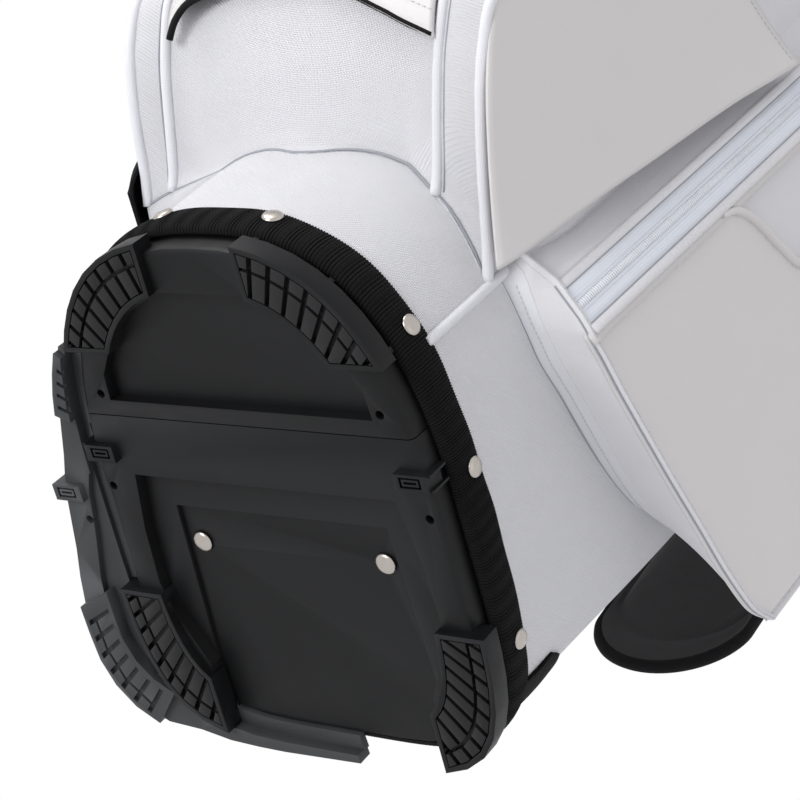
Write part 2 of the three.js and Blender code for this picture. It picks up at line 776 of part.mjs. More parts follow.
function buildDividers() {
  const { barHeight, barWidth, sheet: cloth, rowY, bottom } = DIVIDER;
  const top = CUFF.top - 4;
  const outer = -TUBE.wall - GAP - 4 - GAP;
  const low = top - barHeight;
  const ring = sweepOutline([[outer, low], [outer, top], [outer - 5, top], [outer - 5, low]]);
  const bounds = plug([[outer - 1, top - barHeight], [outer - 1, top]]);
  const half = barWidth / 2;
  const bars = joined(
    box(-150, 150, rowY - half, rowY + half, low, top),
    box(-150, 150, -rowY - half, -rowY + half, low, top),
    box(-half, half, -150, 150, low, top),
  );
  add("divider_grid", joined(ring, common(bars, bounds)), COLOUR.plastic, 0.6);
  const inside = -TUBE.wall - BASE.wallThickness - 4;
  const room = plug([[inside, bottom], [inside, low - GAP]]);
  const c = cloth / 2;
  const cloths = joined(
    box(-150, 150, rowY - c, rowY + c, bottom, low - GAP),
    box(-150, 150, -rowY - c, -rowY + c, bottom, low - GAP),
    box(-c, c, -150, 150, bottom, low - GAP),
  );
  add("divider_sleeves", common(cloths, room), COLOUR.dividers, 0.95);
}

function buildStays() {
  for (const [index, [side]] of SIDES.entries()) {
    const angle = radians(STAY.angles[1 - index]);
    const inset = -TUBE.wall - 12;
    const from = outline(angle, BASE.floorTop + GAP, inset);
    const to = outline(angle, CUFF.bottom + 3, inset);
    add(`stay_rod_${side}`, rod(from, to, STAY.radius), COLOUR.metal, 0.4, 0.6);
  }
}

// ---------------------------------------------------------------- front pockets

// Front face of the ball pocket: how far forward it stands at a height.
function ballPocketFront(z) {
  return through(BALL_POCKET.profile, z);
}

// Room taken by the tube, the same on both sides, that the sewn-on pieces stay clear of.
function tubeRoom(bottom, top) {
  const room = plug([[SOFT_GAP, bottom], [SOFT_GAP, top]]);
  return joined(room, mirrored(room));
}

function buildBallPocket() {
  const levels = BALL_POCKET.profile.map(([z]) => z);
  const { half, corner, back } = BALL_POCKET;
  const rings = levels.map((z) => {
    const front = ballPocketFront(z);
    const bevel = Math.min(10, (back - front) / 2);
    const swell = Math.min(5, (back - front) / 20);
    return [
      [half, back], [half, front + bevel + 4], [half - corner * 0.4, front + bevel * 0.35],
      [half - corner, front], [35, front - swell], [-35, front - swell],
      [-half + corner, front], [-half + corner * 0.4, front + bevel * 0.35],
      [-half, front + bevel + 4], [-half, back],
    ].map(([x, y]) => new THREE.Vector3(x, y, z)).reverse();
  });
  const block = orient(loft(rings));
  const cavity = box(-60, 60, -230, -150, 205, 318);
  add("ball_pocket", cut(block, cavity, tubeRoom(60, 460)), COLOUR.canvas, 0.9);
}

// Leatherette flap over the ball pocket: hung at its top edge, its lower edge is a lopsided arch.
function buildBallPocketFlap() {
  const { arch, flapHinge } = BALL_POCKET;
  const left = arch[0][0];
  const right = arch.at(-1)[0];
  const surface = (lift) => (u, v) => {
    const x = lerp(left, right, u);
    const z = lerp(through(arch, x), flapHinge, v ** 1.6);
    const swell = 5 * Math.max(0, 1 - (Math.abs(x) / right) ** 2);
    return new THREE.Vector3(x, ballPocketFront(z) - swell - lift, z);
  };
  add("ball_pocket_flap", sheet(16, 10, surface(8), surface(5)), COLOUR.leatherette, 0.5);
}

// Leatherette covers along the sides of the ball pocket. The right one's rear edge stands off over the
// side zip; the left one lies flat under the umbrella sleeve.
function buildZipCovers() {
  const surface = (flare, lift) => (u, v) => {
    const z = lerp(lerp(COVER.frontBottom, COVER.rearBottom, u), lerp(COVER.frontTop, COVER.rearTop, u), v);
    const y = lerp(COVER.front, flare ? through(COVER.rear, z) : COVER.flatRear, u);
    const bow = (flare ? 2 + flare * v : 0) * (Math.max(0, u - 0.55) / 0.45) ** 1.5;
    return new THREE.Vector3(BALL_POCKET.half + 1 + lift + bow, y, z);
  };
  const cover = (flare) => sheet(8, 8, surface(flare, 2), surface(flare, 0));
  add("zip_cover_right", cover(COVER.flare), COLOUR.leatherette, 0.5);
  add("zip_cover_left", mirrored(cover(0)), COLOUR.leatherette, 0.5);
}

function buildValuablesPocket() {
  const { bottom, top, half, front } = VALUABLES;
  const ring = (z, inset, y) =>
    [
      [half - inset, -60], [half - inset, y + 14], [half - inset - 14, y], [-half + inset + 14, y],
      [-half + inset, y + 14], [-half + inset, -60],
    ].map(([x, py]) => new THREE.Vector3(x, py, z)).reverse();
  const block = orient(
    loft([
      ring(bottom, 6, front + 16),
      ring(bottom + 14, 0, front),
      ring(top - 40, 0, front),
      ring(top, 8, front + 26),
    ]),
  );
  add("valuables_pocket", cut(block, tubeRoom(bottom - 20, top + 20)), COLOUR.leatherette, 0.5);
  const zipZ = top - 56;
  const zip = box(-half + 18, half - 18, front - GAP - ZIP.thickness, front - GAP, zipZ - 10, zipZ + 10);
  add("valuables_zip", zip, COLOUR.zipTape, 0.8);
  const near = front - ZIP.thickness - 2 * GAP;
  const slider = box(half - 34, half - 24, near - SLIDER.height, near, zipZ - 4, zipZ + 4);
  add("valuables_slider", slider, COLOUR.metal, 0.3, 1);
  const back = near - SLIDER.height - SLIDER.pullGap;
  const pivot = SLIDER.pullThickness / 2;
  const low = zipZ - SLIDER.pullLength;
  const pull = box(half - 32, half - 26, back - SLIDER.pullThickness, back, low, zipZ + pivot);
  add("valuables_puller", pull, COLOUR.leatherette, 0.6);
}

// ---------------------------------------------------------------- side pockets

// Outer face of a side pocket. Its lower edge climbs towards the back of the bag.
function sidePocketFace(u, v) {
  const { front, back, top, bottom, face } = SIDE_POCKET;
  const y = lerp(front, back, u);
  const z = lerp(through(bottom, y), top - 30 * Math.max(0, 2 * Math.abs(u - 0.5) - 0.6), v);
  const crown = 5 * Math.sin(Math.PI * v) * Math.sin(Math.PI * u);
  const taper = 1 - 0.25 * v ** 3 * u;
  const x = through(face, y) * taper + crown + BODY.widthGrowth * (z - 90) * 0.6 * (1 - u);
  return new THREE.Vector3(x, y, z);
}

function buildSidePockets() {
  const stations = [0, 0.09, 0.2, 0.32, 0.46, 0.6, 0.73, 0.85, 0.93, 1];
  const at = (u) => stations[Math.round(u * (stations.length - 1))];
  const outer = (u, v) => sidePocketFace(at(u), v);
  const inner = (u, v) => sidePocketFace(at(u), v).setX(50);
  const block = sheet(stations.length - 1, 9, outer, inner);
  const body = tubeRoom(60, 700);
  const [insetX, insetY] = SIDE_POCKET.rearInset;
  const behind = prism([[40, insetY], [insetX, insetY], [150, SIDE_POCKET.back + 1], [150, 200], [40, 200]], 60, 700);
  const pocket = cut(block, body, behind);
  const corner = (z) => sidePocketFace(0.045, (z - 84) / (SIDE_POCKET.top - 84));
  const out = new THREE.Vector3(1, -1, 0).normalize();
  const across = new THREE.Vector3(1, 1, 0).normalize();
  const standing = 2.4;
  const path = [ZIP.bottom, 200, 320, 440, ZIP.top].map((z) => {
    const p = corner(z);
    return new THREE.Vector3(p.x, p.y, z).addScaledVector(out, standing + ZIP.thickness / 2);
  });
  const zip = cut(strap(path, ZIP.width, ZIP.thickness, 10, across), body);
  const end = new THREE.CatmullRomCurve3(path).getPointAt(0.95);
  const sliderAt = (near, far, half, low, high) => {
    const centre = end.clone().addScaledVector(out, (near + far) / 2);
    const made = new THREE.BoxGeometry(2 * half, far - near, high - low);
    made.rotateZ(Math.PI / 4);
    return made.translate(centre.x, centre.y, centre.z + (low + high) / 2);
  };
  const first = ZIP.thickness / 2 + SLIDER.lift;
  const pull = first + SLIDER.height + SLIDER.pullGap;
  const slider = sliderAt(first, first + SLIDER.height, 4.5, -7, 7);
  const puller = sliderAt(pull, pull + SLIDER.pullThickness, 3.2, -SLIDER.pullLength, SLIDER.pullThickness / 2);
  for (const [side, turned] of SIDES) {
    add(`side_pocket_${side}`, turned(pocket), COLOUR.leatherette, 0.55);
    add(`side_zip_${side}`, turned(zip), COLOUR.zipTape, 0.8);
    add(`side_slider_${side}`, turned(slider), COLOUR.metal, 0.3, 1);
    add(`side_puller_${side}`, turned(puller), COLOUR.leatherette, 0.6);
  }
}

// ---------------------------------------------------------------- strap, rings, umbrella sleeve

// Webbing loop sewn to the tube, closed round the near side of a level ring.
function anchorLoop(x, y, z, wall) {
  const near = y - RING.radius;
  const path = [
    [wall + 2, z + 18], [wall + 2.5, z + 9], [near - 1, z + 5], [near + 5, z],
    [near - 1, z - 5], [wall + 2.5, z - 9], [wall + 2, z - 18],
  ].map(([py, pz]) => new THREE.Vector3(x, py, pz));
  return strap(path, 9, 1.6, 20, new THREE.Vector3(1, 0, 0));
}

// Metal hook that closes round the far side of a level ring, with a bar that leads up (1) or down (-1).
function snapHook(x, y, z, dir) {
  const far = y + RING.radius;
  const eye = torus(6.6, 1.7, new THREE.Vector3(x, far + 2.2, z), new THREE.Euler(0, Math.PI / 2, 0));
  const low = Math.min(z + dir * 7, z + dir * 30);
  const high = Math.max(z + dir * 7, z + dir * 30);
  return joined(eye, box(x - 4, x + 4, far - 0.6, far + 5.4, low, high));
}

function buildStrap() {
  const { y, low, high, pad } = STRAP;
  const wide = new THREE.Vector3(1, 0, 0);
  for (const [name, z] of [["upper", high], ["lower", low]]) {
    const wall = outline(Math.PI / 2, z).y;
    const ring = torus(RING.radius, RING.wire, new THREE.Vector3(0, y, z));
    add(`strap_ring_${name}`, ring, COLOUR.metal, 0.25, 1);
    add(`strap_anchor_${name}`, anchorLoop(0, y, z, wall), COLOUR.webbing, 0.85);
  }
  add("strap_hook_upper", snapHook(0, y, high, -1), COLOUR.metal, 0.25, 1);
  add("strap_hook_lower", snapHook(0, y, low, 1), COLOUR.metal, 0.25, 1);
  const half = pad.length / 2;
  const shape = new THREE.Shape();
  const round = pad.width / 2;
  shape.absarc(0, half - round, round, 0, Math.PI);
  shape.absarc(0, -half + round, round, Math.PI, 2 * Math.PI);
  const options = { depth: pad.thickness, bevelEnabled: false, curveSegments: 12 };
  const cushion = new THREE.ExtrudeGeometry(shape, options);
  cushion.rotateX(Math.PI / 2).translate(0, pad.thickness / 2, 0).rotateY(pad.lean);
  cushion.translate(pad.x, pad.y, pad.z);
  add("strap_pad", cushion, COLOUR.webbing, 0.8);
  const outside = pad.y + pad.thickness / 2 + 2;
  const along = (share) => {
    const reach = share * half;
    return new THREE.Vector3(pad.x + Math.sin(pad.lean) * reach, outside, pad.z + Math.cos(pad.lean) * reach);
  };
  const bar = y + RING.radius + 2;
  const path = [
    new THREE.Vector3(0, bar, high - 31),
    new THREE.Vector3(6, bar + 3, high - 60),
    new THREE.Vector3(30, outside, high - 150),
    along(0.7),
    along(0.3),
    along(-0.1),
    new THREE.Vector3(34, outside + 2, low + 106),
    new THREE.Vector3(8, outside + 4, low + 68),
    new THREE.Vector3(0, bar + 8, low + 46),
    new THREE.Vector3(0, bar, low + 31),
  ];
  add("strap_webbing", strap(path, 30, 1.8, 48, wide), COLOUR.webbing, 0.85);
}

// Open fabric sleeve beside the ball pocket that holds the foot of an umbrella.
function buildUmbrellaSleeve() {
  const { x, y, reach, front, rear, bottom, top, wall } = UMBRELLA;
  const steps = 18;
  const plan = (inset) => {
    const points = [];
    for (let i = 0; i <= steps; i++) {
      const turn = lerp(-Math.PI / 2, Math.PI / 2, i / steps);
      const half = (turn < 0 ? front : rear) - 2 * inset;
      points.push([x - inset - (reach - 2 * inset) * Math.cos(turn), y + half * Math.sin(turn)]);
    }
    return points;
  };
  const sleeve = cut(prism(plan(0), bottom, top), prism(plan(wall), bottom + wall, top + 1));
  add("umbrella_sleeve", sleeve, COLOUR.webbing, 0.85);
}

// Towel ring that hangs from a webbing loop high on the left side.
function buildTowelRing() {
  const { angle, z, radius, wire } = TOWEL_RING;
  const turn = radians(angle);
  const out = outward(turn, z);
  const wall = outline(turn, z);
  const spin = Math.atan2(out.y, out.x);
  const centre = wall.clone().addScaledVector(out, 9);
  const ring = new THREE.TorusGeometry(radius, wire, 6, 24).rotateY(Math.PI / 2);
  ring.rotateZ(spin).translate(centre.x, centre.y, centre.z - radius);
  add("towel_ring", ring, COLOUR.metal, 0.25, 1);
  const path = [
    [2.2, 26], [2.6, 13], [7.5, 6.6], [15, 0], [8, -6.4], [2.6, -12.5], [2.2, -25],
  ].map(([reach, rise]) => wall.clone().addScaledVector(out, reach).setZ(z + rise));
  add("towel_loop", strap(path, 12, 1.6, 20, new THREE.Vector3(-out.y, out.x, 0)), COLOUR.webbing, 0.85);
}

buildBase();
buildFeet();
buildFloorBoard();
buildSkid();
buildTube();
buildBand();
buildRimRivets();
buildCuff();
buildDividers();
buildStays();
buildBallPocket();
buildBallPocketFlap();
buildZipCovers();
buildValuablesPocket();
buildSidePockets();
buildStrap();
buildUmbrellaSleeve();
buildTowelRing();

// The origin is moved to the floor below the middle of the whole bag, pockets and strap included.
const whole = new THREE.Box3().setFromObject(bag);
bag.position.y = -(whole.min.y + whole.max.y) / 2;

export default bag;
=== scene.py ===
"""Looks for the golf staff bag: soft goods, mouldings, trims, materials, light and camera.

Lengths in the shape functions are millimetres from the tube's own axis; place() turns them into the
frame's metres. The shapes follow the same driving dimensions as the CAD part.
"""

import math

import bmesh
import bpy
import numpy as np
from mathutils import Matrix, Vector


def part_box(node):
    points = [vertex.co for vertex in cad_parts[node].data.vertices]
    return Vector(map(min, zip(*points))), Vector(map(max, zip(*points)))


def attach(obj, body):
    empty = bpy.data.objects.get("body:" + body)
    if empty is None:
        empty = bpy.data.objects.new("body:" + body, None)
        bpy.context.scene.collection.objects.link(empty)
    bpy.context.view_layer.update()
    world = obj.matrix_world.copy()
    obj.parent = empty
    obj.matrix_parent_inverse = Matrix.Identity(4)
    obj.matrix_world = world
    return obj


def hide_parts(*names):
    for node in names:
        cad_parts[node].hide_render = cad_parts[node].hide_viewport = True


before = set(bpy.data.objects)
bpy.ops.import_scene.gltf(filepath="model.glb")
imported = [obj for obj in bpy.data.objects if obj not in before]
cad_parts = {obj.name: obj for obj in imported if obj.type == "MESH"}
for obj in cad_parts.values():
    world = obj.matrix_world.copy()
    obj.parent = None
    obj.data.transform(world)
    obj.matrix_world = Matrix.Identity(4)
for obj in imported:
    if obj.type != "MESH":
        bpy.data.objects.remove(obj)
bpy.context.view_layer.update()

MM = 0.001
_low, _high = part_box("webbing_band")
AXIS_Y = (_low[1] + _high[1]) / 2 / MM  # the tube's axis stands this far behind the frame's origin

# ---------------------------------------------------------------- driving dimensions, millimetres

BODY_HALF_WIDTH, BODY_HALF_DEPTH = 98, 130
WIDTH_GROWTH, DEPTH_GROWTH, GROWTH_START = 0.032, 0.012, 25
REAR_WIDENING, FRONT_SQUARENESS, REAR_SQUARENESS = 0.03, 2.6, 4.5
TUBE_BOTTOM, TUBE_TOP, TUBE_WALL = 17, 842, 2.4

SEAM_ANGLE = -39  # degrees, the piped seam beside the ball pocket
PIPING = 2.5  # radius of the piping cord

RIVET_ANGLES = (-77, -44, -9, 36, 69)
RIVET_Z = 27.5

POCKET_CORNER, POCKET_HALF = 75, 100
FLAP_HINGE = 336
ZIP_BOTTOM, ZIP_TOP, ZIP_WIDTH = 92, 560, 24
SIDE_FRONT, SIDE_BACK, SIDE_TOP = -72, 150, 640

SIDES = (("right", 1), ("left", -1))


# ---------------------------------------------------------------- the bag's outline


def outline(angle, z, offset=0.0):
    """Point of the outline at an angle in radians (0 = +X, quarter turn = the back), as (x, y)."""
    c, s = math.cos(angle), math.sin(angle)
    rise = z - GROWTH_START
    half_width = (BODY_HALF_WIDTH + WIDTH_GROWTH * rise + offset) * (1 + REAR_WIDENING * s)
    half_depth = BODY_HALF_DEPTH + DEPTH_GROWTH * rise + offset
    n = FRONT_SQUARENESS if s < 0 else REAR_SQUARENESS
    radius = (abs(c / half_width) ** n + abs(s / half_depth) ** n) ** (-1 / n)
    return radius * c, radius * s


def outward(angle, z):
    """Unit direction away from the bag at an angle, as (x, y)."""
    step = 0.01
    ax, ay = outline(angle + step, z)
    bx, by = outline(angle - step, z)
    length = math.hypot(ax - bx, ay - by)
    return (ay - by) / length, (bx - ax) / length


def front_angle(x, z, offset=0.0):
    """Angle on the front half at which the outline reaches x."""
    low, high = -math.pi, 0.0
    for _ in range(40):
        middle = (low + high) / 2
        if outline(middle, z, offset)[0] < x:
            low = middle
        else:
            high = middle
    return low


def lerp(a, b, share):
    return a + (b - a) * share


def smooth(share):
    share = min(1.0, max(0.0, share))
    return share * share * (3 - 2 * share)


def spline(knots, t):
    """Value at t of a smooth, non-overshooting curve through (t, value) knots."""
    ts = [k[0] for k in knots]
    vs = [k[1] for k in knots]
    if t <= ts[0]:
        return vs[0]
    if t >= ts[-1]:
        return vs[-1]
    i = max(j for j in range(len(ts) - 1) if ts[j] <= t)

    def secant(j):
        return (vs[j + 1] - vs[j]) / (ts[j + 1] - ts[j])

    def slope(j):
        if j == 0 or j == len(ts) - 1:
            return secant(min(j, len(ts) - 2))
        before, after = secant(j - 1), secant(j)
        return 0.0 if before * after <= 0 else 2 * before * after / (before + after)

    h = ts[i + 1] - ts[i]
    s = (t - ts[i]) / h
    return (
        vs[i] * (1 + 2 * s) * (1 - s) ** 2
        + slope(i) * h * s * (1 - s) ** 2
        + vs[i + 1] * s * s * (3 - 2 * s)
        + slope(i + 1) * h * s * s * (s - 1)
    )


def place(point):
    """Millimetres about the tube's axis to metres in the frame."""
    return Vector((point[0] * MM, (point[1] + AXIS_Y) * MM, point[2] * MM))


# ---------------------------------------------------------------- mesh helpers


def finish_piece(obj, material, body, smooth_faces=True):
    obj.data.materials.clear()
    obj.data.materials.append(material)
    for face in obj.data.polygons:
        face.use_smooth = smooth_faces
    if not obj.users_collection:
        bpy.context.scene.collection.objects.link(obj)
    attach(obj, body)
    return obj


def object_from(name, points, faces, uvs=None):
    """An object from millimetre points, with one UV (in metres) per point."""
    mesh = bpy.data.meshes.new(name)
    mesh.from_pydata([place(p) for p in points], [], faces)
    if uvs is not None:
        layer = mesh.uv_layers.new(name="cloth")
        flat = np.empty(len(mesh.loops), dtype=np.int64)
        mesh.loops.foreach_get("vertex_index", flat)
        layer.data.foreach_set("uv", np.asarray(uvs, dtype=np.float64)[flat].ravel())
    mesh.validate()
    obj = bpy.data.objects.new(name, mesh)
    bpy.context.scene.collection.objects.link(obj)
    return obj


def arc_uvs(grid):
    """UVs in metres that follow the arc lengths of a grid of points."""
    g = np.asarray(grid, dtype=float)
    along = np.zeros(g.shape[:2])
    across = np.zeros(g.shape[:2])
    along[1:] = np.cumsum(np.linalg.norm(np.diff(g, axis=0), axis=2), axis=0)
    across[:, 1:] = np.cumsum(np.linalg.norm(np.diff(g, axis=1), axis=2), axis=1)
    return np.stack([along, across], axis=2).reshape(-1, 2) * MM


def sheet(name, point, us, vs, flip=False, wanted=None):
    """A smooth sheet through point(u, v), or the part of it whose face centres wanted() accepts."""
    grid = [[point(u, v) for v in vs] for u in us]
    count = len(vs)
    flat = [p for row in grid for p in row]
    faces = []
    for i in range(len(us) - 1):
        for j in range(count - 1):
            a = i * count + j
            face = (a, a + count, a + count + 1, a + 1)
            if wanted and not wanted(*(sum(flat[k][axis] for k in face) / 4 for axis in range(3))):
                continue
            faces.append(face[::-1] if flip else face)
    return object_from(name, flat, faces, arc_uvs(grid))


def thicken(obj, thickness, offset=-1.0):
    """Gives a sheet real thickness in metres, inwards by default, with the cut edge closed."""
    solidify = obj.modifiers.new("thickness", "SOLIDIFY")
    solidify.thickness = thickness
    solidify.offset = offset
    solidify.use_even_offset = True
    return obj


def spans(low, high, count):
    return [lerp(low, high, i / count) for i in range(count + 1)]


def resample(path, step):
    """Points of a polyline at even spacing."""
    p = np.asarray(path, dtype=float)
    length = np.concatenate([[0], np.cumsum(np.linalg.norm(np.diff(p, axis=0), axis=1))])
    count = max(2, int(round(length[-1] / step)))
    at = np.linspace(0, length[-1], count + 1)
    return np.stack([np.interp(at, length, p[:, k]) for k in range(3)], axis=1)


def cord_data(path, radius, sides=8, closed=False, flat=1.0, up=(0, 0, 1)):
    """Points, faces and UVs of a round or flattened cord along a path."""
    p = np.asarray(path, dtype=float)
    count = len(p)
    tangent = np.empty_like(p)
    tangent[1:-1] = p[2:] - p[:-2]
    tangent[0] = p[1] - (p[-1] if closed else p[0])
    tangent[-1] = (p[0] if closed else p[-1]) - p[-2]
    tangent /= np.linalg.norm(tangent, axis=1)[:, None]
    points, uvs = [], []
    side = np.cross(tangent[0], up)
    if np.linalg.norm(side) < 1e-3:
        side = np.cross(tangent[0], (1, 0, 0))
    length = 0.0
    for i in range(count):
        side = side - tangent[i] * side.dot(tangent[i])
        side /= np.linalg.norm(side)
        other = np.cross(side, tangent[i])
        if i:
            length += np.linalg.norm(p[i] - p[i - 1])
        for k in range(sides):
            turn = 2 * math.pi * k / sides
            points.append(p[i] + radius * (side * math.cos(turn) + other * math.sin(turn) * flat))
            uvs.append((length * MM, k / sides * 2 * math.pi * radius * MM))
    faces = []
    for i in range(count if closed else count - 1):
        for k in range(sides):
            a, b = i * sides + k, i * sides + (k + 1) % sides
            c, d = ((i + 1) % count) * sides + (k + 1) % sides, ((i + 1) % count) * sides + k
            faces.append((a, b, c, d))
    if not closed:
        faces.append(tuple(reversed(range(sides))))
        faces.append(tuple((count - 1) * sides + k for k in range(sides)))
    return points, faces, uvs


def cords(name, paths, radius, sides=8, closed=False, step=3.0, flat=1.0, up=(0, 0, 1)):
    """One object made of a cord along each path."""
    points, faces, uvs = [], [], []
    for path in paths:
        p, f, uv = cord_data(resample(path, step), radius, sides, closed, flat, up)
        start = len(points)
        points += list(p)
        faces += [tuple(i + start for i in face) for face in f]
        uvs += uv
    return object_from(name, points, faces, uvs)


def stitches(name, paths, pitch=3.2, length=2.1, radius=0.32):
    """Rows of short raised threads along paths that lie on the cloth."""
    parts = []
    for path in paths:
        p = resample(path, 0.5)
        every, long = int(pitch / 0.5), int(length / 0.5)
        for i in range(0, len(p) - long, every):
            parts.append(p[i : i + long + 1 : long])
    points, faces, uvs = [], [], []
    for part in parts:
        p, f, uv = cord_data(part, radius, 5)
        start = len(points)
        points += list(p)
        faces += [tuple(i + start for i in face) for face in f]
        uvs += uv
    return object_from(name, points, faces, uvs)


def lathe(name, profile, segments, matrix):
    """A turned piece. profile is (radius, height) pairs in mm; matrix takes +Z and mm to its place."""
    points, faces = [], []
    for radius, height in profile:
        for k in range(segments):
            turn = 2 * math.pi * k / segments
            v = matrix @ Vector((radius * math.cos(turn), radius * math.sin(turn), height))
            points.append(tuple(v))
    for i in range(len(profile) - 1):
        for k in range(segments):
            a, b = i * segments + k, i * segments + (k + 1) % segments
            faces.append((a, b, b + segments, a + segments))
    return object_from(name, points, faces)


def mirror(point):
    return lambda u, v: (-point(u, v)[0], *point(u, v)[1:])


def refined(node, width, segments=2, angle=32):
    """Copy of a CAD node with its triangles merged into faces and its edges softened."""
    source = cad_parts[node]
    obj = source.copy()
    obj.data = source.data.copy()
    obj.name = node + "_fine"
    obj.parent = None
    obj.matrix_world = Matrix.Identity(4)
    bpy.context.scene.collection.objects.link(obj)
    bm = bmesh.new()
    bm.from_mesh(obj.data)
    bmesh.ops.remove_doubles(bm, verts=bm.verts, dist=1e-6)
    bmesh.ops.dissolve_limit(bm, angle_limit=math.radians(1.5), verts=bm.verts, edges=bm.edges)
    bm.to_mesh(obj.data)
    bm.free()
    bevel = obj.modifiers.new("edges", "BEVEL")
    bevel.width = width * MM
    bevel.segments = segments
    bevel.limit_method = "ANGLE"
    bevel.angle_limit = math.radians(angle)
    bevel.use_clamp_overlap = True
    bevel.harden_normals = True
    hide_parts(node)
    return obj


# ---------------------------------------------------------------- materials


class Look:
    """A node material being built. Coordinates are metres, from the cloth UVs or from the object."""

    def __init__(self, name, colour, roughness, metallic=0.0):
        self.material = bpy.data.materials.new(name)
        self.material.use_nodes = True
        self.tree = self.material.node_tree
        self.surface = self.tree.nodes["Principled BSDF"]
        self.surface.inputs["Base Color"].default_value = (*colour, 1)
        self.surface.inputs["Roughness"].default_value = roughness
        self.surface.inputs["Metallic"].default_value = metallic
        self.colour = colour
        self.last_bump = None

    def node(self, kind, **settings):
        made = self.tree.nodes.new(kind)
        for key, value in settings.items():
            setattr(made, key, value)
        return made

    def link(self, out, into):
        self.tree.links.new(out, into)

    def where(self, uv=False):
        made = self.node("ShaderNodeTexCoord")
        return made.outputs["UV" if uv else "Object"]

    def math(self, operation, a, b=None):
        made = self.node("ShaderNodeMath", operation=operation)
        for i, value in enumerate((a, b)):
            if value is None:
                continue
            if isinstance(value, (int, float)):
                made.inputs[i].default_value = value
            else:
                self.link(value, made.inputs[i])
        return made.outputs[0]

    def noise(self, scale, detail=3.0, uv=False):
        made = self.node("ShaderNodeTexNoise")
        made.inputs["Scale"].default_value = scale
        made.inputs["Detail"].default_value = detail
        self.link(self.where(uv), made.inputs["Vector"])
        return made.outputs["Fac"]

    def cells(self, scale, feature="SMOOTH_F1"):
        made = self.node("ShaderNodeTexVoronoi", feature=feature)
        made.inputs["Scale"].default_value = scale
        self.link(self.where(), made.inputs["Vector"])
        return made.outputs["Distance"]

    def bump(self, height, distance, strength=1.0):
        """Adds a bump of height 0..1 times distance metres on top of the ones so far."""
        made = self.node("ShaderNodeBump")
        made.inputs["Strength"].default_value = strength
        made.inputs["Distance"].default_value = distance
        self.link(height, made.inputs["Height"])
        if self.last_bump is not None:
            self.link(self.last_bump, made.inputs["Normal"])
        self.last_bump = made.outputs["Normal"]
        self.link(self.last_bump, self.surface.inputs["Normal"])

    def shade(self, mask, low, high):
        """Multiplies the colour by low..high as mask goes 0..1."""
        scale = self.node("ShaderNodeMapRange")
        self.link(mask, scale.inputs["Value"])
        scale.inputs["To Min"].default_value = low
        scale.inputs["To Max"].default_value = high
        mix = self.node("ShaderNodeMix", data_type="RGBA", blend_type="MULTIPLY")
        mix.inputs["Factor"].default_value = 1.0
        socket = self.surface.inputs["Base Color"]
        if socket.is_linked:
            self.link(socket.links[0].from_socket, mix.inputs["A"])
        else:
            mix.inputs["A"].default_value = (*self.colour, 1)
        grey = self.node("ShaderNodeCombineColor")
        for channel in ("Red", "Green", "Blue"):
            self.link(scale.outputs["Result"], grey.inputs[channel])
        self.link(grey.outputs["Color"], mix.inputs["B"])
        self.link(mix.outputs["Result"], socket)

    def roughen(self, mask, low, high):
        scale = self.node("ShaderNodeMapRange")
        self.link(mask, scale.inputs["Value"])
        scale.inputs["To Min"].default_value = low
        scale.inputs["To Max"].default_value = high
        self.link(scale.outputs["Result"], self.surface.inputs["Roughness"])

    def set(self, **inputs):
        for key, value in inputs.items():
            self.surface.inputs[key.replace("_", " ")].default_value = value


def weave_height(look, pitch, rib=1.0):
    """Over-and-under threads of a plain weave, pitch in metres between threads."""
    split = look.node("ShaderNodeSeparateXYZ")
    look.link(look.where(uv=True), split.inputs[0])
    across = look.math("MULTIPLY", split.outputs["X"], math.pi / pitch)
    along = look.math("MULTIPLY", split.outputs["Y"], math.pi / (pitch * rib))
    warp = look.math("ABSOLUTE", look.math("SINE", across))
    weft = look.math("ABSOLUTE", look.math("SINE", along))
    sign = look.math("GREATER_THAN", look.math("MULTIPLY", look.math("SINE", across), look.math("SINE", along)), 0.0)
    over = look.math("MULTIPLY", warp, sign)
    under = look.math("MULTIPLY", weft, look.math("SUBTRACT", 1.0, sign))
    return look.math("ADD", over, under)


def woven(name, colour, pitch=0.0008, depth=0.0002, roughness=0.8, sheen=0.15, rib=1.0, shine=0.3):
    look = Look(name, colour, roughness)
    height = weave_height(look, pitch, rib)
    look.bump(look.noise(28, 2.0), 0.0016, 0.5)
    look.bump(height, depth)
    # Painted shade: the weave's hollows darker and its raised threads lighter in the colour itself, by up to 14 per
    # cent.
    look.shade(height, 0.86, 1.02)
    look.shade(look.noise(60, 4.0), 0.97, 1.02)
    look.roughen(look.noise(400, 2.0), roughness - 0.06, roughness + 0.06)
    look.set(Sheen_Weight=sheen, Sheen_Roughness=0.5, Specular_IOR_Level=shine)
    return look.material


def leatherette(name, colour, roughness=0.42):
    look = Look(name, colour, roughness)
    look.bump(look.noise(24, 2.0), 0.0014, 0.5)
    look.bump(look.cells(1100), 0.00010, 0.7)
    look.bump(look.noise(420, 4.0), 0.00010, 0.6)
    look.shade(look.noise(35, 4.0), 0.975, 1.015)
    look.roughen(look.noise(150, 3.0), roughness - 0.05, roughness + 0.08)
    return look.material


def moulded(name, colour, roughness=0.42, grain=0.00005):
    look = Look(name, colour, roughness)
    look.bump(look.noise(30, 2.0), 0.0006, 0.4)
    look.bump(look.noise(2600, 2.0), grain)
    # Colour up to 2.2 times lighter on sharply convex edges.
    convexity = look.node("ShaderNodeNewGeometry").outputs["Pointiness"]
    look.shade(look.math("MULTIPLY", look.math("SUBTRACT", convexity, 0.5), 6.0), 1.0, 2.2)
    look.shade(look.noise(45, 4.0), 0.85, 1.15)
    look.roughen(look.noise(90, 5.0), roughness - 0.08, roughness + 0.12)
    look.set(Specular_IOR_Level=0.25)
    return look.material


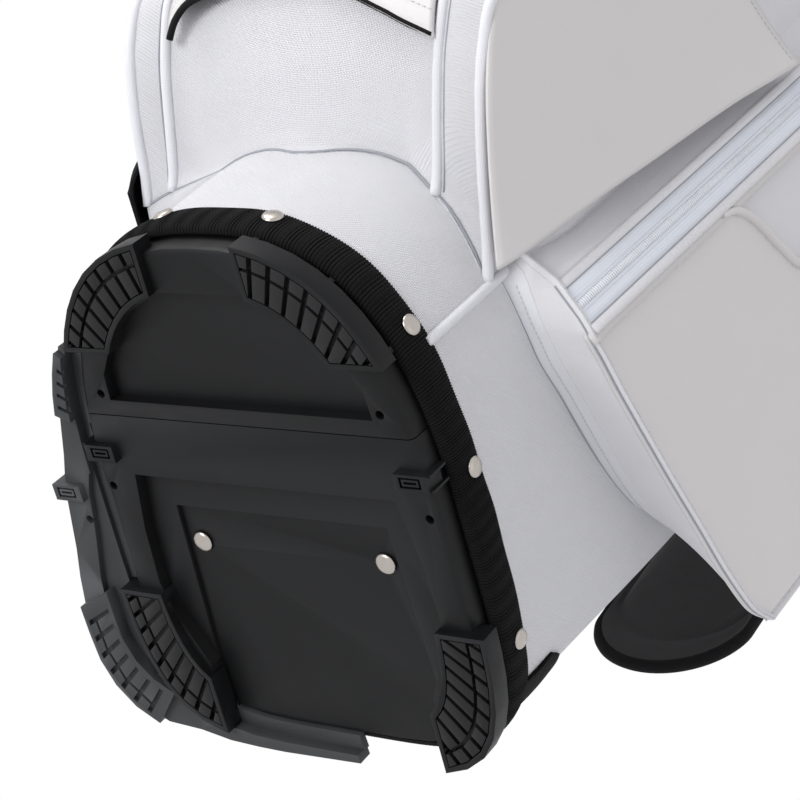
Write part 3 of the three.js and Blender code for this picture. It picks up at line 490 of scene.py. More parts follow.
def metal(name, colour, roughness=0.24):
    look = Look(name, colour, roughness, 1.0)
    look.bump(look.noise(900, 3.0), 0.00002)
    look.shade(look.noise(300, 4.0), 0.85, 1.05)
    look.roughen(look.noise(700, 5.0), roughness - 0.06, roughness + 0.14)
    return look.material


def ribbed(name, colour, pitch=0.0014, depth=0.0003, roughness=0.75):
    """Webbing: ribs across its length with finer threads between them."""
    look = Look(name, colour, roughness)
    split = look.node("ShaderNodeSeparateXYZ")
    look.link(look.where(uv=True), split.inputs[0])
    rib = look.math("ABSOLUTE", look.math("SINE", look.math("MULTIPLY", split.outputs["X"], math.pi / pitch)))
    thread = look.math("ABSOLUTE", look.math("SINE", look.math("MULTIPLY", split.outputs["Y"], math.pi / 0.0011)))
    look.bump(rib, depth)
    look.bump(thread, depth * 0.4)
    # Painted highlight and shade: the rib crests up to 2.6 times lighter, the grooves between them down to a fifth.
    look.shade(rib, 0.2, 2.6)
    look.shade(look.noise(200, 3.0), 0.8, 1.2)
    look.set(Sheen_Weight=0.02, Specular_IOR_Level=0.1)
    return look.material


CANVAS = woven("white_canvas", (0.83, 0.825, 0.86), depth=0.0003)
GUSSET = woven("gusset_canvas", (0.82, 0.81, 0.84), pitch=0.0007, depth=0.00012)
PIPING_CLOTH = woven("piping_cloth", (0.83, 0.83, 0.87), pitch=0.0007, depth=0.0001)
LEATHERETTE = leatherette("white_leatherette", (0.665, 0.645, 0.64))
YOKE = leatherette("cool_leatherette", (0.68, 0.675, 0.70), 0.5)
TAPE = woven("zip_tape", (0.78, 0.81, 0.88), pitch=0.0006, depth=0.00005, roughness=0.6, rib=2.5)
COIL = moulded("zip_coil", (0.78, 0.80, 0.84), 0.4)
# Painted shade: dark grey cords laid along seams stand for the shade in their creases.
SEAM_SHADE = woven("seam_line", (0.36, 0.37, 0.41), pitch=0.0004, depth=0.00003)
THREAD = woven("white_thread", (0.70, 0.70, 0.73), pitch=0.0004, depth=0.00003)
PLASTIC = moulded("black_moulding", (0.0038, 0.0040, 0.0045))
# Painted light: the black moulding made about ten times lighter for the side skid, standing for the light falling on
# that side of the base.
PLASTIC_PAINTED_LIT = moulded("moulding_painted_lit", (0.036, 0.037, 0.039), 0.5)
RUBBER = moulded("tread_rubber", (0.0060, 0.0060, 0.0064), 0.42, 0.00009)
WEBBING = ribbed("black_webbing", (0.0034, 0.0034, 0.0036), pitch=0.0016, depth=0.0005)
BINDING = woven("black_binding", (0.008, 0.008, 0.009), sheen=0.02, shine=0.15)
PAD_SKIN = leatherette("black_pad_skin", (0.030, 0.030, 0.030), 0.6)
NICKEL = metal("nickel", (0.62, 0.57, 0.52))
STEEL = metal("drawn_steel", (0.45, 0.45, 0.47), 0.35)
LINING = woven("dark_lining", (0.05, 0.055, 0.065), pitch=0.0009, sheen=0.4)
BOARD = moulded("floor_board", (0.05, 0.05, 0.055), 0.6)
TAB = leatherette("puller_leatherette", (0.66, 0.655, 0.65))


def keep(node, material):
    """A CAD node that stays, with its finish."""
    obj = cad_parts[node]
    obj.data.materials.clear()
    obj.data.materials.append(material)


def restyle(node, material, width, segments=2, body="bag"):
    """A CAD node shown through a copy with softened edges."""
    obj = refined(node, width, segments)
    return finish_piece(obj, material, body)


# ---------------------------------------------------------------- base, treads, skid

restyle("base_front_shell", PLASTIC, 0.8, 3)
restyle("base_rear_shell", PLASTIC, 0.8, 3)
for place_name in ("front", "rear"):
    for side, _ in SIDES:
        restyle(f"foot_tread_{place_name}_{side}", RUBBER, 0.45, 2)
# The side skid in the lighter moulding, painted light.
restyle("side_skid", PLASTIC_PAINTED_LIT, 0.7, 2)
restyle("inner_floor_board", BOARD, 0.5, 2)


def domed_rivet(name, centre, direction, radius, height, node):
    profile = [(0.01, height)]
    for share in spans(0.12, 1.0, 8):
        profile.append((radius * share, height * (0.35 + 0.65 * math.sqrt(max(0.0, 1 - share**2)))))
    profile += [(radius * 1.02, height * 0.18), (radius * 0.98, 0.0), (radius * 0.3, 0.0), (0.01, 0.0)]
    turn = Vector((0, 0, 1)).rotation_difference(Vector(direction)).to_matrix().to_4x4()
    obj = lathe(name, profile, 28, Matrix.Translation(Vector(centre)) @ turn)
    finish_piece(obj, NICKEL, "bag")
    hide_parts(node)


BAND_THICKNESS = 2.6
for index, degrees in enumerate([*RIVET_ANGLES, *(180 - a for a in RIVET_ANGLES)]):
    angle = math.radians(degrees)
    ox, oy = outward(angle, RIVET_Z)
    x, y = outline(angle, RIVET_Z)
    seat = (x + ox * (BAND_THICKNESS + 0.35), y + oy * (BAND_THICKNESS + 0.35), RIVET_Z)
    domed_rivet(f"rim_rivet_cap_{index + 1}", seat, (ox, oy, 0), 4.7, 2.0, f"rim_rivet_{index + 1}")
for side, sign in SIDES:
    domed_rivet(f"floor_rivet_cap_{side}", (sign * 52, 28.7, 12.1), (0, 0, -1), 5.2, 2.0, f"floor_rivet_{side}")


# ---------------------------------------------------------------- cloth tube and its rolled webbing edge


def tube_point(angle, z):
    """The stiffened cloth, with the faint slackness of fabric between its seams."""
    slack = 0.5 * math.sin(3 * angle + z / 90) * math.sin(z / 47 + 1.1) + 0.3 * math.sin(5 * angle - z / 60)
    held = smooth((z - 34) / 60) * smooth((815 - z) / 60)
    x, y = outline(angle, z, slack * held)
    return x, y, z


full_turn = [math.pi / 2 + a for a in spans(0, 2 * math.pi, 168)]
tube = sheet("canvas_tube", tube_point, full_turn, spans(TUBE_BOTTOM, TUBE_TOP, 96))
thicken(tube, TUBE_WALL * MM)
finish_piece(tube, CANVAS, "bag")
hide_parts("body_tube")


def on_tube(degrees, z, offset=0.0):
    x, y = outline(math.radians(degrees), z, offset)
    return x, y, z


seam_paths = [[on_tube(a, z, 0.6) for z in range(32, 816, 12)] for a in (SEAM_ANGLE, 180 - SEAM_ANGLE)]
seam = cords("tube_seam_piping", seam_paths, PIPING, 8)
finish_piece(seam, PIPING_CLOTH, "bag")
BAND_PROFILE = (
    (-2.4, 16.6), (-2.3, 15.2), (-0.8, 14.6), (0.9, 15.0), (2.1, 16.6), (2.8, 19.4), (3.0, 22.5),
    (2.8, 26.0), (2.3, 29.5), (1.6, 32.6), (1.0, 34.4), (0.4, 34.9), (0.2, 34.0), (0.2, 30.0),
)
RIBS = 560


def band_ring():
    """Webbing rolled over the edge of the base, each rib a ridge across it."""
    grid = []
    per_rib = 4
    for i in range(RIBS * per_rib):
        angle = 2 * math.pi * i / (RIBS * per_rib)
        ridge = 0.28 * math.cos(2 * math.pi * i / per_rib)
        wander = 0.5 * math.sin(7 * angle + 0.6) + 0.35 * math.sin(17 * angle)
        row = []
        for offset, z in BAND_PROFILE:
            proud = ridge if offset > 0.3 else 0.0
            lift = wander * smooth((z - 27) / 8)
            x, y = outline(angle, z, offset + proud)
            row.append((x, y, z + lift))
        grid.append(row)
    count, width = len(grid), len(BAND_PROFILE)
    faces = []
    for i in range(count):
        for j in range(width - 1):
            a, b = i * width + j, ((i + 1) % count) * width + j
            faces.append((a, b, b + 1, a + 1))
    around = 760 * MM / count
    uvs = [(i * around, j * 2.0 * MM) for i in range(count) for j in range(width)]
    return object_from("rolled_webbing", [p for row in grid for p in row], faces, uvs)


band = finish_piece(band_ring(), WEBBING, "bag")
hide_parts("webbing_band")


def tab_point(u, v):
    """Short webbing tab at the rear right corner, over the tube, with its corners cut."""
    angle = lerp(46.5, 59, u)
    z = lerp(30, 66 - 9 * max(0.0, abs(2 * u - 1) - 0.55) / 0.45, v)
    return on_tube(angle, z, 1.1 + 0.6 * math.sin(math.pi * v))


tab = thicken(sheet("webbing_tab", tab_point, spans(0, 1, 14), spans(0, 1, 10)), 0.0016)
finish_piece(tab, WEBBING, "bag")


# ---------------------------------------------------------------- ball pocket

ACROSS = (0.0, 0.1, 0.5, 0.9, 1.0)  # shares of the left edge, left corner, middle, right corner, right edge
POCKET_SEAM = ((-100, -104, 92), (-85, -110, 95), (0, -131, 93), (65, -110, 94), (89, -74, 84))
POCKET_FULL = ((-100, -194), (-82, -202), (0, -208), (75, -202), (100, -189))
MIDDLE_PUFF = ((0, 0), (5, 0.02), (19, 0.49), (33, 0.82), (62, 1), (112, 1.02), (242, 1), (307, 0.75), (340, 0.28), (352, 0))
EDGE_PUFF = ((0, 0), (3, 0.1), (10, 0.49), (20, 0.8), (37, 1), (112, 1), (242, 1), (307, 0.75), (340, 0.28), (352, 0))
POCKET_RISE = 352


def ball_pocket(share, height, proud=0.0):
    """Outside of the ball pocket. share runs left to right, height is from the bottom seam."""
    edge = smooth((abs(share - 0.5) - 0.3) / 0.2)
    puff = lerp(spline(MIDDLE_PUFF, height), spline(EDGE_PUFF, height), edge)
    seam = [spline([(s, p[k]) for s, p in zip(ACROSS, POCKET_SEAM)], share) for k in range(3)]
    full = [spline([(s, p[k]) for s, p in zip(ACROSS, POCKET_FULL)], share) for k in range(2)]
    tube = DEPTH_GROWTH * height
    slack = 0.7 * math.sin(7 * share + height / 31) * math.sin(height / 23 + 2 * share) * puff * (1 - edge)
    if height < 0:
        return seam[0] * 0.8, seam[1] * 0.7, seam[2] + 3
    x = lerp(seam[0], full[0], puff)
    y = lerp(seam[1] - tube, full[1], puff) - proud * puff + slack
    return x, y, seam[2] + height


heights = [0, 1.5, 3, 5, 7, 9.5, *spans(12, 60, 20), *spans(64, 352, 60)]
front = sheet("ball_pocket_front", ball_pocket, spans(0, 1, 96), [-1, *heights])
finish_piece(thicken(front, 0.0018), CANVAS, "bag")
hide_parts("ball_pocket")


def pocket_underside(u, v):
    """Canvas closing the gap between the ball pocket's lower seam and the tube below it."""
    x, y, z = ball_pocket(u, 0)
    low = z - 13 * (1 - smooth((u - 0.22) / 0.2)) - 0.5
    angle = front_angle(max(-97, min(97, x)) * 0.97, low)
    tx, ty = outline(angle, low, -0.6)
    return lerp(x, tx, v), lerp(y + 0.6, ty, v), lerp(z - 0.3, low, v)


under = sheet("ball_pocket_underside", pocket_underside, spans(0, 1, 80), spans(0, 1, 8))
finish_piece(thicken(under, 0.0012), CANVAS, "bag")


def ball_pocket_side(sign):
    share = 1 if sign > 0 else 0

    def point(u, height):
        x, y, z = ball_pocket(share, height)
        back_x = sign * (89 + 11 * smooth(height / 60))
        crown = sign * 1.5 * math.sin(math.pi * u) * smooth(height / 40)
        return lerp(x, back_x, u) + crown, lerp(y, -73, u), z

    return point


for side, sign in SIDES:
    wall = sheet(f"ball_pocket_side_{side}", ball_pocket_side(sign), spans(0, 1, 30), heights, flip=sign < 0)
    finish_piece(thicken(wall, 0.0018), GUSSET, "bag")

pocket_edges = [[ball_pocket(s, h, 0.6) for h in range(0, 352, 4)] for s in (0.0, 0.1, 0.9, 1.0)]
finish_piece(cords("ball_pocket_piping", pocket_edges, PIPING, 10), PIPING_CLOTH, "bag")
# Painted shade in the creases beside the pocket's corner piping.
seam_shade_lines = [[ball_pocket(s, h, 0.1) for h in range(2, 350, 4)] for s in (0.083, 0.917)]
finish_piece(cords("ball_pocket_needle_lines", seam_shade_lines, 0.45, 6), SEAM_SHADE, "bag")


def where_it_leaves_the_tube(share):
    """Point at which the ball pocket's cloth comes out from behind the tube's surface."""
    for step in range(120):
        x, y, z = ball_pocket(share, step / 4)
        if y < outline(front_angle(max(-97, min(97, x)), z), z, 0.1)[1]:
            break
    return x, y - 0.4, z - 0.7


# Painted shade along the crease where the pocket's cloth meets the tube.
pocket_seam = [[where_it_leaves_the_tube(s) for s in spans(0.0, 1.0, 160)]]
finish_piece(cords("ball_pocket_seam", pocket_seam, 0.6, 8), SEAM_SHADE, "bag")

# Flap: hung at its top edge; its lower edge is a lopsided arch bound in black.
FLAP_ARCH = (
    (-77, 113), (-75, 115.5), (-70, 118), (-64, 120), (-58, 121.5), (-40, 124.5), (0, 123), (35, 116), (46, 114),
    (55, 113), (71, 111.5),
)
FLAP_EDGE_LIFT = ((-77, 2.5), (-72, 5.5), (-64, 7.5), (0, 8.5), (46, 7), (55, 5), (71, 2.5))


def front_panel(x, z, proud):
    """Ball pocket front at x, standing proud of it."""
    y = spline(((93, -131), (107, -165), (121, -188), (150, -202), (200, -204), (330, -202), (395, -184)), z)
    return x, y - 5 * max(0.0, 1 - (x / 75) ** 2) - proud, z


FLAP_LEFT, FLAP_RIGHT = -77, 71


def flap_lift(x, v):
    """How far the flap stands off the pocket: its two ends are sewn down, the arch between them is free."""
    return lerp(spline(FLAP_EDGE_LIFT, x), 7.4, smooth(v / 0.4)) + 0.4 * math.sin(x / 17) * math.sin(7 * v)


def flap_point(u, v):
    x = lerp(FLAP_LEFT, FLAP_RIGHT, u)
    z = lerp(spline(FLAP_ARCH, x), FLAP_HINGE, v**1.4)
    roll = 1.6 * (1 - smooth(v / 0.012))
    return front_panel(x, z, flap_lift(x, v) - roll)


def flap_lining(u, v):
    x = lerp(FLAP_LEFT + 1, FLAP_RIGHT - 1, u)
    z = lerp(spline(FLAP_ARCH, x) + 0.4, 300, v)
    return front_panel(x, z, max(0.9, flap_lift(x, v) - 3.2))


flap = thicken(sheet("flap_skin", flap_point, spans(0, 1, 70), [0, 0.003, 0.008, 0.015, *spans(0.03, 1, 60)]), 0.0024)
finish_piece(flap, LEATHERETTE, "ball_pocket_flap")
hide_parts("ball_pocket_flap")


def along_arch(lift, proud):
    """Line along the arched edge, lift above it and proud of the flap's own standing height."""
    xs = spans(FLAP_LEFT + 0.5, FLAP_RIGHT - 0.5, 120)
    return [front_panel(x, spline(FLAP_ARCH, x) + lift(x), flap_lift(x, 0) + proud) for x in xs]


lining = thicken(sheet("flap_lining", flap_lining, spans(0, 1, 70), spans(0, 1, 30)), 0.001)
finish_piece(lining, BINDING, "ball_pocket_flap")
wide = along_arch(lambda x: -0.2, -1.9)
narrow = along_arch(lambda x: lerp(-0.2, 0.7, smooth((x + 5) / 30)), -1.5)
for name, part, radius in (("flap_binding_left", wide[:60], 2.3), ("flap_binding_right", narrow[59:], 1.4)):
    bound = cords(name, [part], radius, 10, flat=0.7, up=(0, -1, 0))
    finish_piece(bound, BINDING, "ball_pocket_flap")
flap_rows = [along_arch(lambda x: 5, 0.25), along_arch(lambda x: 9, 0.25)]
finish_piece(stitches("flap_stitches", flap_rows), THREAD, "ball_pocket_flap")


# ---------------------------------------------------------------- leatherette covers on the ball pocket's sides

COVER_REAR = ((78, -84), (155, -83.5), (185, -82.5), (270, -78.5), (305, -75.5), (330, -73.5))
COVER_FLARE = ((0.0, 0.0), (0.12, 4.5), (0.3, 9), (0.45, 13), (0.75, 18.5), (0.9, 22), (1.0, 24))
COVER_LOW = {
    1: ((-188, 121), (-172, 107.5), (-150, 96), (-131, 89.5), (-105, 82), (-84, 76)),
    -1: ((-190, 127), (-176, 114), (-148, 104), (-114, 97), (-104, 94), (-84, 91)),
}


def cover_point(sign, flare, proud=0.0):
    """A cover's surface: u from the pocket's front edge back, v from its lower edge up."""

    def point(u, v):
        guess = lerp(-188, -84, u)
        z = lerp(spline(COVER_LOW[sign], guess), lerp(328, 332, u), v)
        y = lerp(-190.5, spline(COVER_REAR, z) if flare else -80, u)
        bow = (spline(COVER_FLARE, v) if flare else 0) * (max(0, u - 0.5) / 0.5) ** 1.6
        wave = 0.5 * math.sin(5 * u + 3 * v) * math.sin(math.pi * u)
        edge = 2.4 * (1 - smooth(u / 0.05)) + 0.8 * (1 - smooth(v / 0.03))
        return sign * (102.6 - edge + bow + wave + proud), y, z

    return point


for side, sign in SIDES:
    surface = cover_point(sign, sign > 0)
    cover = sheet(f"cover_{side}", surface, spans(0, 1, 44), spans(0, 1, 60), flip=sign < 0)
    finish_piece(thicken(cover, 0.0016), LEATHERETTE, "bag")
    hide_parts(f"zip_cover_{side}")
    raised = cover_point(sign, sign > 0, 0.25)
    rows = [[raised(u, 1 - 3.5 / 210) for u in spans(0.02, 0.98, 60)]]
    finish_piece(stitches(f"cover_stitches_{side}", rows), THREAD, "bag")


# ---------------------------------------------------------------- side pockets

SIDE_FACE = ((-72, 106), (-52, 129), (-10, 135), (30, 139), (90, 144.5), (120, 146), (140, 146), (150, 141))
SIDE_LOW = (
    (-72, 97), (-52, 88), (-30, 92.5), (-10, 98), (30, 110.5), (70, 123.5), (100, 133.5), (128, 147), (144, 162),
    (150, 170),
)
TUBE_SEAM = (
    (0, 90, -71, 92), (0.06, 93.5, -59, 92), (0.17, 97.7, -37, 93), (0.33, 100.1, -7, 102.5), (0.54, 101.7, 35, 118),
    (0.7, 102.1, 63, 133), (0.8, 100.9, 82, 150), (0.9, 97, 101, 172), (1, 90, 118, 198),
)
POCKET_S = ((211, -46), (222, -44), (232, -37), (251, -12), (263, 3), (287, 16), (330, 24), (600, 40), (640, 41))
ZIP_SHIFT = 7.5  # the zip lies this much nearer the face than the middle of the bevel
STRIP = 11.6  # middle of the welts beside the zip, from the zip's middle
FACE_START = -48


def side_top(y):
    return SIDE_TOP - 18 * smooth((abs(y - 39) - 60) / 50)


def side_face(sign, y, z, proud=0.0):
    """Outer surface of a side pocket at y and z, millimetres proud of it."""
    u = (y - SIDE_FRONT) / (SIDE_BACK - SIDE_FRONT)
    low = spline(SIDE_LOW, y)
    v = min(1.0, max(0.0, (z - low) / (SIDE_TOP - low)))
    full = math.sin(math.pi * u)
    crown = 5 * math.sin(math.pi * v) * full + 2.0 * smooth(v / 0.08) * full
    x = spline(SIDE_FACE, y) * (1 - 0.25 * v**3 * u) - 2.0 * full + crown + 0.0192 * (z - 90) * (1 - u) + proud
    slack = 0.8 * math.sin(y / 21 + z / 60) * math.sin(z / 33 - y / 47) * smooth(v / 0.05) * full
    return sign * (x + slack), y, z


def side_sheet_point(sign, inset=0.0):
    return lambda y, v: side_face(sign, y, lerp(spline(SIDE_LOW, y), side_top(y), v), -inset)


def is_yoke(x, y, z):
    return z > 211 and y < spline(POCKET_S, z)


def bevel_point(sign, across, z, out=0.0):
    """Point on the zip's bevel: across runs from the bag's front to the face, out stands off it."""
    middle_x = 117.5 + 0.0185 * (z - 90) + 0.8 * math.sin(math.pi * (z - 84) / (SIDE_TOP - 84))
    step = (across + ZIP_SHIFT) * math.sqrt(0.5)
    off = out * math.sqrt(0.5)
    return sign * (middle_x + step + off), -62 + step - off, z


def zip_tape(name, low, high, place_point, half, coil, body="bag"):
    """A zip laid along place_point(across, along, out): two tapes, and a coil between two ridges."""
    rows = [-half, -half * 0.6, -coil - 0.8, -coil, -coil + 0.5, coil - 0.5, coil, coil + 0.8, half * 0.6, half]
    rise = [0, 0.1, 0.1, 0.1, -0.1, -0.1, 0.1, 0.1, 0.1, 0]
    table = dict(zip(rows, rise))
    tape = sheet(name + "_tape", lambda t, a: place_point(a, t, table[a]), spans(low, high, 120), rows)
    finish_piece(thicken(tape, 0.0007), TAPE, body)
    ridges = [[place_point(a, t, 0.5) for t in spans(low, high, 60)] for a in (-coil + 0.6, coil - 0.6)]
    finish_piece(cords(name + "_ridges", ridges, 1.05, 8, flat=0.8), TAPE, body)
    teeth = []
    count = int(abs(high - low) / 1.6)
    for i in range(count):
        t = lerp(low, high, (i + 0.5) / count)
        arch = [(a, 0.6 + 0.9 * math.cos(a / 1.9 * math.pi / 2)) for a in (-1.9, -1.0, 0, 1.0, 1.9)]
        teeth.append([place_point(a, t, rise_here) for a, rise_here in arch])
    finish_piece(cords(name + "_coil", teeth, 0.62, 6, step=0.9), COIL, body)
    return tape


def zip_foot(across):
    """Height of the zip's lower end, which slopes down towards the face."""
    return 97.5 - 0.33 * (across + STRIP)


def corner_line(sign):
    """The pocket's lower edge round its front corner, from the tube to the face."""
    line = [(sign * 93, -79, 104)]
    line += [bevel_point(sign, a, zip_foot(a), 0.6) for a in (-STRIP - 2, -5, 4)]
    line.append(side_face(sign, FACE_START, spline(SIDE_LOW, FACE_START) + 2.6, 0.5))
    return line


def along_line(line, share):
    """Point at a share of the way along a line of points."""
    place_on = max(0.0, min(0.9999, share)) * (len(line) - 1)
    k = int(place_on)
    return tuple(lerp(p, q, place_on - k) for p, q in zip(line[k], line[k + 1]))


def build_side_pocket(side, sign):
    flip = sign < 0
    ys = [*spans(FACE_START, 128, 56), *spans(131, 143, 5), 145, 147, 148.5, 149.5, SIDE_BACK]
    vs = [0, 0.004, 0.01, 0.02, *spans(0.03, 1, 180)]
    face = sheet(f"side_face_{side}", side_sheet_point(sign), ys, vs, flip, lambda x, y, z: not is_yoke(x, y, z))
    finish_piece(thicken(face, 0.0018), LEATHERETTE, "bag")
    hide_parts(f"side_pocket_{side}")
    recessed = side_sheet_point(sign, 2.6)
    yoke = sheet(f"side_yoke_{side}", recessed, ys, vs, flip, lambda x, y, z: is_yoke(x, y - 4, z + 4))
    finish_piece(thicken(yoke, 0.0015), YOKE, "bag")

    edge_ys = [*spans(SIDE_FRONT + 2, 128, 80), *spans(131, 146, 8), 148, 149.5, SIDE_BACK]
    rise = 2.6  # the flange stands this far above the pocket's lower seam
    lower = [side_face(sign, y, spline(SIDE_LOW, y) + rise, 0.5) for y in edge_ys]
    lower = corner_line(sign) + [p for p in lower if p[1] > FACE_START + 5]
    rear = [side_face(sign, SIDE_BACK, z, 0.2) for z in spans(spline(SIDE_LOW, SIDE_BACK) + rise, side_top(SIDE_BACK), 60)]
    flange = cords(f"side_flange_{side}", [lower + rear], 2.9, 12, flat=0.55, up=(0, 0, 1))
    finish_piece(flange, GUSSET, "bag")
    # Painted shade: dark grey lines under the flange, between the zip tapes and the welts, and along the hem's seam on
    # the tube.
    seams = [[(x + sign * 0.2, y, z - 2.0) for x, y, z in lower[1:]]]
    seams += [[bevel_point(sign, a, z, 1.5) for z in spans(zip_foot(a) + 2, SIDE_TOP - 20, 90)] for a in (-9.2, 9.2)]
    shallow = [side_face(sign, spline(POCKET_S, z), z, 0.7) for z in spans(211, 625, 200)]
    finish_piece(cords(f"side_curve_piping_{side}", [shallow], 2.8, 12, flat=0.7), LEATHERETTE, "bag")

    def gusset(s, v):
        """Under-side of the pocket: v runs from the flange in to the seam on the tube."""
        y = lerp(SIDE_FRONT, SIDE_BACK, s)
        fx, fy, fz = side_face(1, y, spline(SIDE_LOW, y))
        if y < FACE_START:
            share = (y - SIDE_FRONT) / (FACE_START - SIDE_FRONT)
            fx, fy, fz = along_line(corner_line(1), share)
            fz -= lerp(1.5, 2.6, share)
        tx, ty, tz = (spline([(k[0], k[axis]) for k in TUBE_SEAM], s) for axis in (1, 2, 3))
        sag = 3.5 * math.sin(math.pi * v) * math.sin(math.pi * min(1, s * 1.05)) ** 0.6
        return sign * lerp(fx, tx, v), lerp(fy, ty, v), lerp(fz, tz, v) + sag

    def hem_share(s):
        """Share of the gusset's width that the hem's 10 mm take up."""
        a, b = gusset(s, 0), gusset(s, 1)
        return 1 - min(0.8, 10.5 / max(1e-6, math.dist(a, b)))

    ss = spans(0, 1, 100)
    under = sheet(f"side_gusset_{side}", gusset, ss, spans(0, 1, 18), not flip)
    finish_piece(thicken(under, 0.0015), GUSSET, "bag")

    def hem(s, v, drop=0.35):
        x, y, z = gusset(s, lerp(hem_share(s), 1.0, v))
        return x, y, z - drop * (1 - 0.75 * abs(2 * v - 1) ** 4)

    strip = sheet(f"side_hem_{side}", hem, ss, [0, 0.06, 0.15, 0.3, 0.5, 0.7, 0.85, 0.94, 1], not flip)
    finish_piece(thicken(strip, 0.0009), PIPING_CLOTH, "bag")
    rows = [[hem(s, v, 0.6) for s in spans(0.02, 0.9, 120)] for v in (0.5,)]
    finish_piece(stitches(f"side_hem_stitches_{side}", rows, 2.6, 1.5, 0.3), THREAD, "bag")
    seams += [[hem(s, 1.0, 0.9) for s in spans(0, 0.95, 120)]]
    finish_piece(cords(f"side_seam_lines_{side}", seams, 0.45, 6), SEAM_SHADE, "bag")

    def front_wall(u, z):
        """Cloth between the tube and the zip, at the pocket's front."""
        low = lerp(104, zip_foot(-STRIP - 2), u) - 0.5
        height = lerp(low, SIDE_TOP - 16, z)
        bx, by, _ = bevel_point(sign, -STRIP - 2, height)
        inner = sign * (89 + 0.03 * (height - 90))
        return lerp(inner, bx, u), lerp(-77, by, u) + 1.0 * math.sin(math.pi * u), height

    wall = sheet(f"side_front_wall_{side}", front_wall, spans(0, 1, 12), spans(0, 1, 90), flip)
    finish_piece(thicken(wall, 0.0015), GUSSET, "bag")
    bed = sheet(
        f"side_zip_bed_{side}", lambda a, z: bevel_point(sign, a, lerp(zip_foot(a) - 1, SIDE_TOP - 16, z), -0.8),
        spans(-STRIP - 1, 17, 6), spans(0, 1, 80), flip,
    )
    finish_piece(thicken(bed, 0.0012), LEATHERETTE, "bag")

    def on_zip(across, along, out):
        foot = zip_foot(across * sign) - 0.5
        return bevel_point(sign, across * sign, lerp(foot, 600, (along - 88) / (600 - 88)), out + 1.0)

    tape = zip_tape(f"side_zip_{side}", 88, 600, on_zip, 9.5, 3.3)
    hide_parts(f"side_zip_{side}")
    strips = [[bevel_point(sign, a, z, 1.0) for z in spans(zip_foot(a) + 1, SIDE_TOP - 18, 90)] for a in (-STRIP, STRIP)]
    facing = (sign * math.sqrt(0.5), -math.sqrt(0.5), 0)
    welts = cords(f"side_zip_welts_{side}", strips, 2.6, 12, flat=0.5, up=facing)
    finish_piece(welts, GUSSET, "bag")

    def lid(u, v):
        """Top of the pocket, back to the tube."""
        y = lerp(SIDE_FRONT + 8, SIDE_BACK, u)
        z = side_top(y)
        x, _, _ = side_face(sign, y, z)
        return lerp(x, sign * 86, v), lerp(y, min(y, 118), v), z + 2 * math.sin(math.pi * v)

    top_sheet = sheet(f"side_lid_{side}", lid, spans(0, 1, 40), spans(0, 1, 8), flip)
    finish_piece(thicken(top_sheet, 0.0015), LEATHERETTE, "bag")

    def rear_wall(u, v):
        z = lerp(spline(SIDE_LOW, SIDE_BACK) + 32 * u, side_top(SIDE_BACK), v)
        x, y, _ = side_face(sign, SIDE_BACK, z)
        return lerp(x, sign * 86, u), lerp(y, 116, u) + 1.5 * math.sin(math.pi * u), z

    back_sheet = sheet(f"side_rear_wall_{side}", rear_wall, spans(0, 1, 10), spans(0, 1, 60), not flip)
    finish_piece(thicken(back_sheet, 0.0015), GUSSET, "bag")


for side, sign in SIDES:
    build_side_pocket(side, sign)


# ---------------------------------------------------------------- valuables pocket


def rounded_loop(half_width, half_height, corner, count=96):
    """Points of a rounded rectangle, counter-clockwise, as (across, up)."""
    loop = []
    for i in range(count):
        turn = 2 * math.pi * i / count
        c, s = math.cos(turn), math.sin(turn)
        n = 2 * max(half_width, half_height) / corner
        radius = (abs(c / half_width) ** n + abs(s / half_height) ** n) ** (-1 / n)
        loop.append((radius * c, radius * s))
    return loop


def cushion_sheet(name, loop, surface, shares):
    """A closed ring grid: surface((across, up), share) from the middle (0) out to the rim (1) and beyond."""
    points, faces = [], []
    count = len(loop)
    for share in shares:
        points += [surface(edge, share) for edge in loop]
    for j in range(len(shares) - 1):
        for i in range(count):
            k = (i + 1) % count
            faces.append((j * count + i, (j + 1) * count + i, (j + 1) * count + k, j * count + k))
    faces.append(tuple(range(count)))
    uvs = [((p[0] + p[1]) * MM, (p[2] + p[1]) * MM) for p in points]
    return object_from(name, points, faces, uvs)


VALUABLES_MIDDLE, VALUABLES_RISE, VALUABLES_FRONT, VALUABLES_ZIP = 549, 101, -178, 594


def valuables_surface(edge, share):
    """Front panel, then the gusset back to the tube past share 1."""
    across, up = edge
    inner = min(1.0, share)
    x, z = across * inner, VALUABLES_MIDDLE + up * inner
    lean = 22 * smooth((z - 600) / 50) + 10 * smooth((468 - z) / 20)
    crown = 5.5 * (1 - inner**2) + 0.6 * math.sin(x / 14 + z / 19) * (1 - inner**2)
    y = VALUABLES_FRONT + lean - crown
    if share > 1:
        angle = front_angle(x, z)
        back = outline(angle, z)[1] + 1.0
        y = lerp(y, max(y, back), share - 1)
    return x, y, z


loop = rounded_loop(82, VALUABLES_RISE, 20)
shares = [0.02, *spans(0.08, 1.0, 26), 1.03, 1.15, 1.4, 1.7, 2.0]
valuables = cushion_sheet("valuables_skin", loop, valuables_surface, shares)
finish_piece(valuables, LEATHERETTE, "bag")
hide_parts("valuables_pocket")
rim = [valuables_surface(edge, 1.0) for edge in loop]
rim_path = [(x, y - 0.6, z) for x, y, z in [*rim, rim[0]]]
finish_piece(cords("valuables_piping", [rim_path], 1.9, 10), LEATHERETTE, "bag")
inner_row = [valuables_surface(edge, 0.955) for edge in [*loop, loop[0]]]
finish_piece(
    stitches("valuables_stitches", [[(x, y - 0.3, z) for x, y, z in inner_row]]), THREAD, "bag"
)


def on_valuables(across, along, out):
    return along, VALUABLES_FRONT - 1.4 - out - 4.2 * (1 - (along / 82) ** 2) * 0.15, VALUABLES_ZIP - across


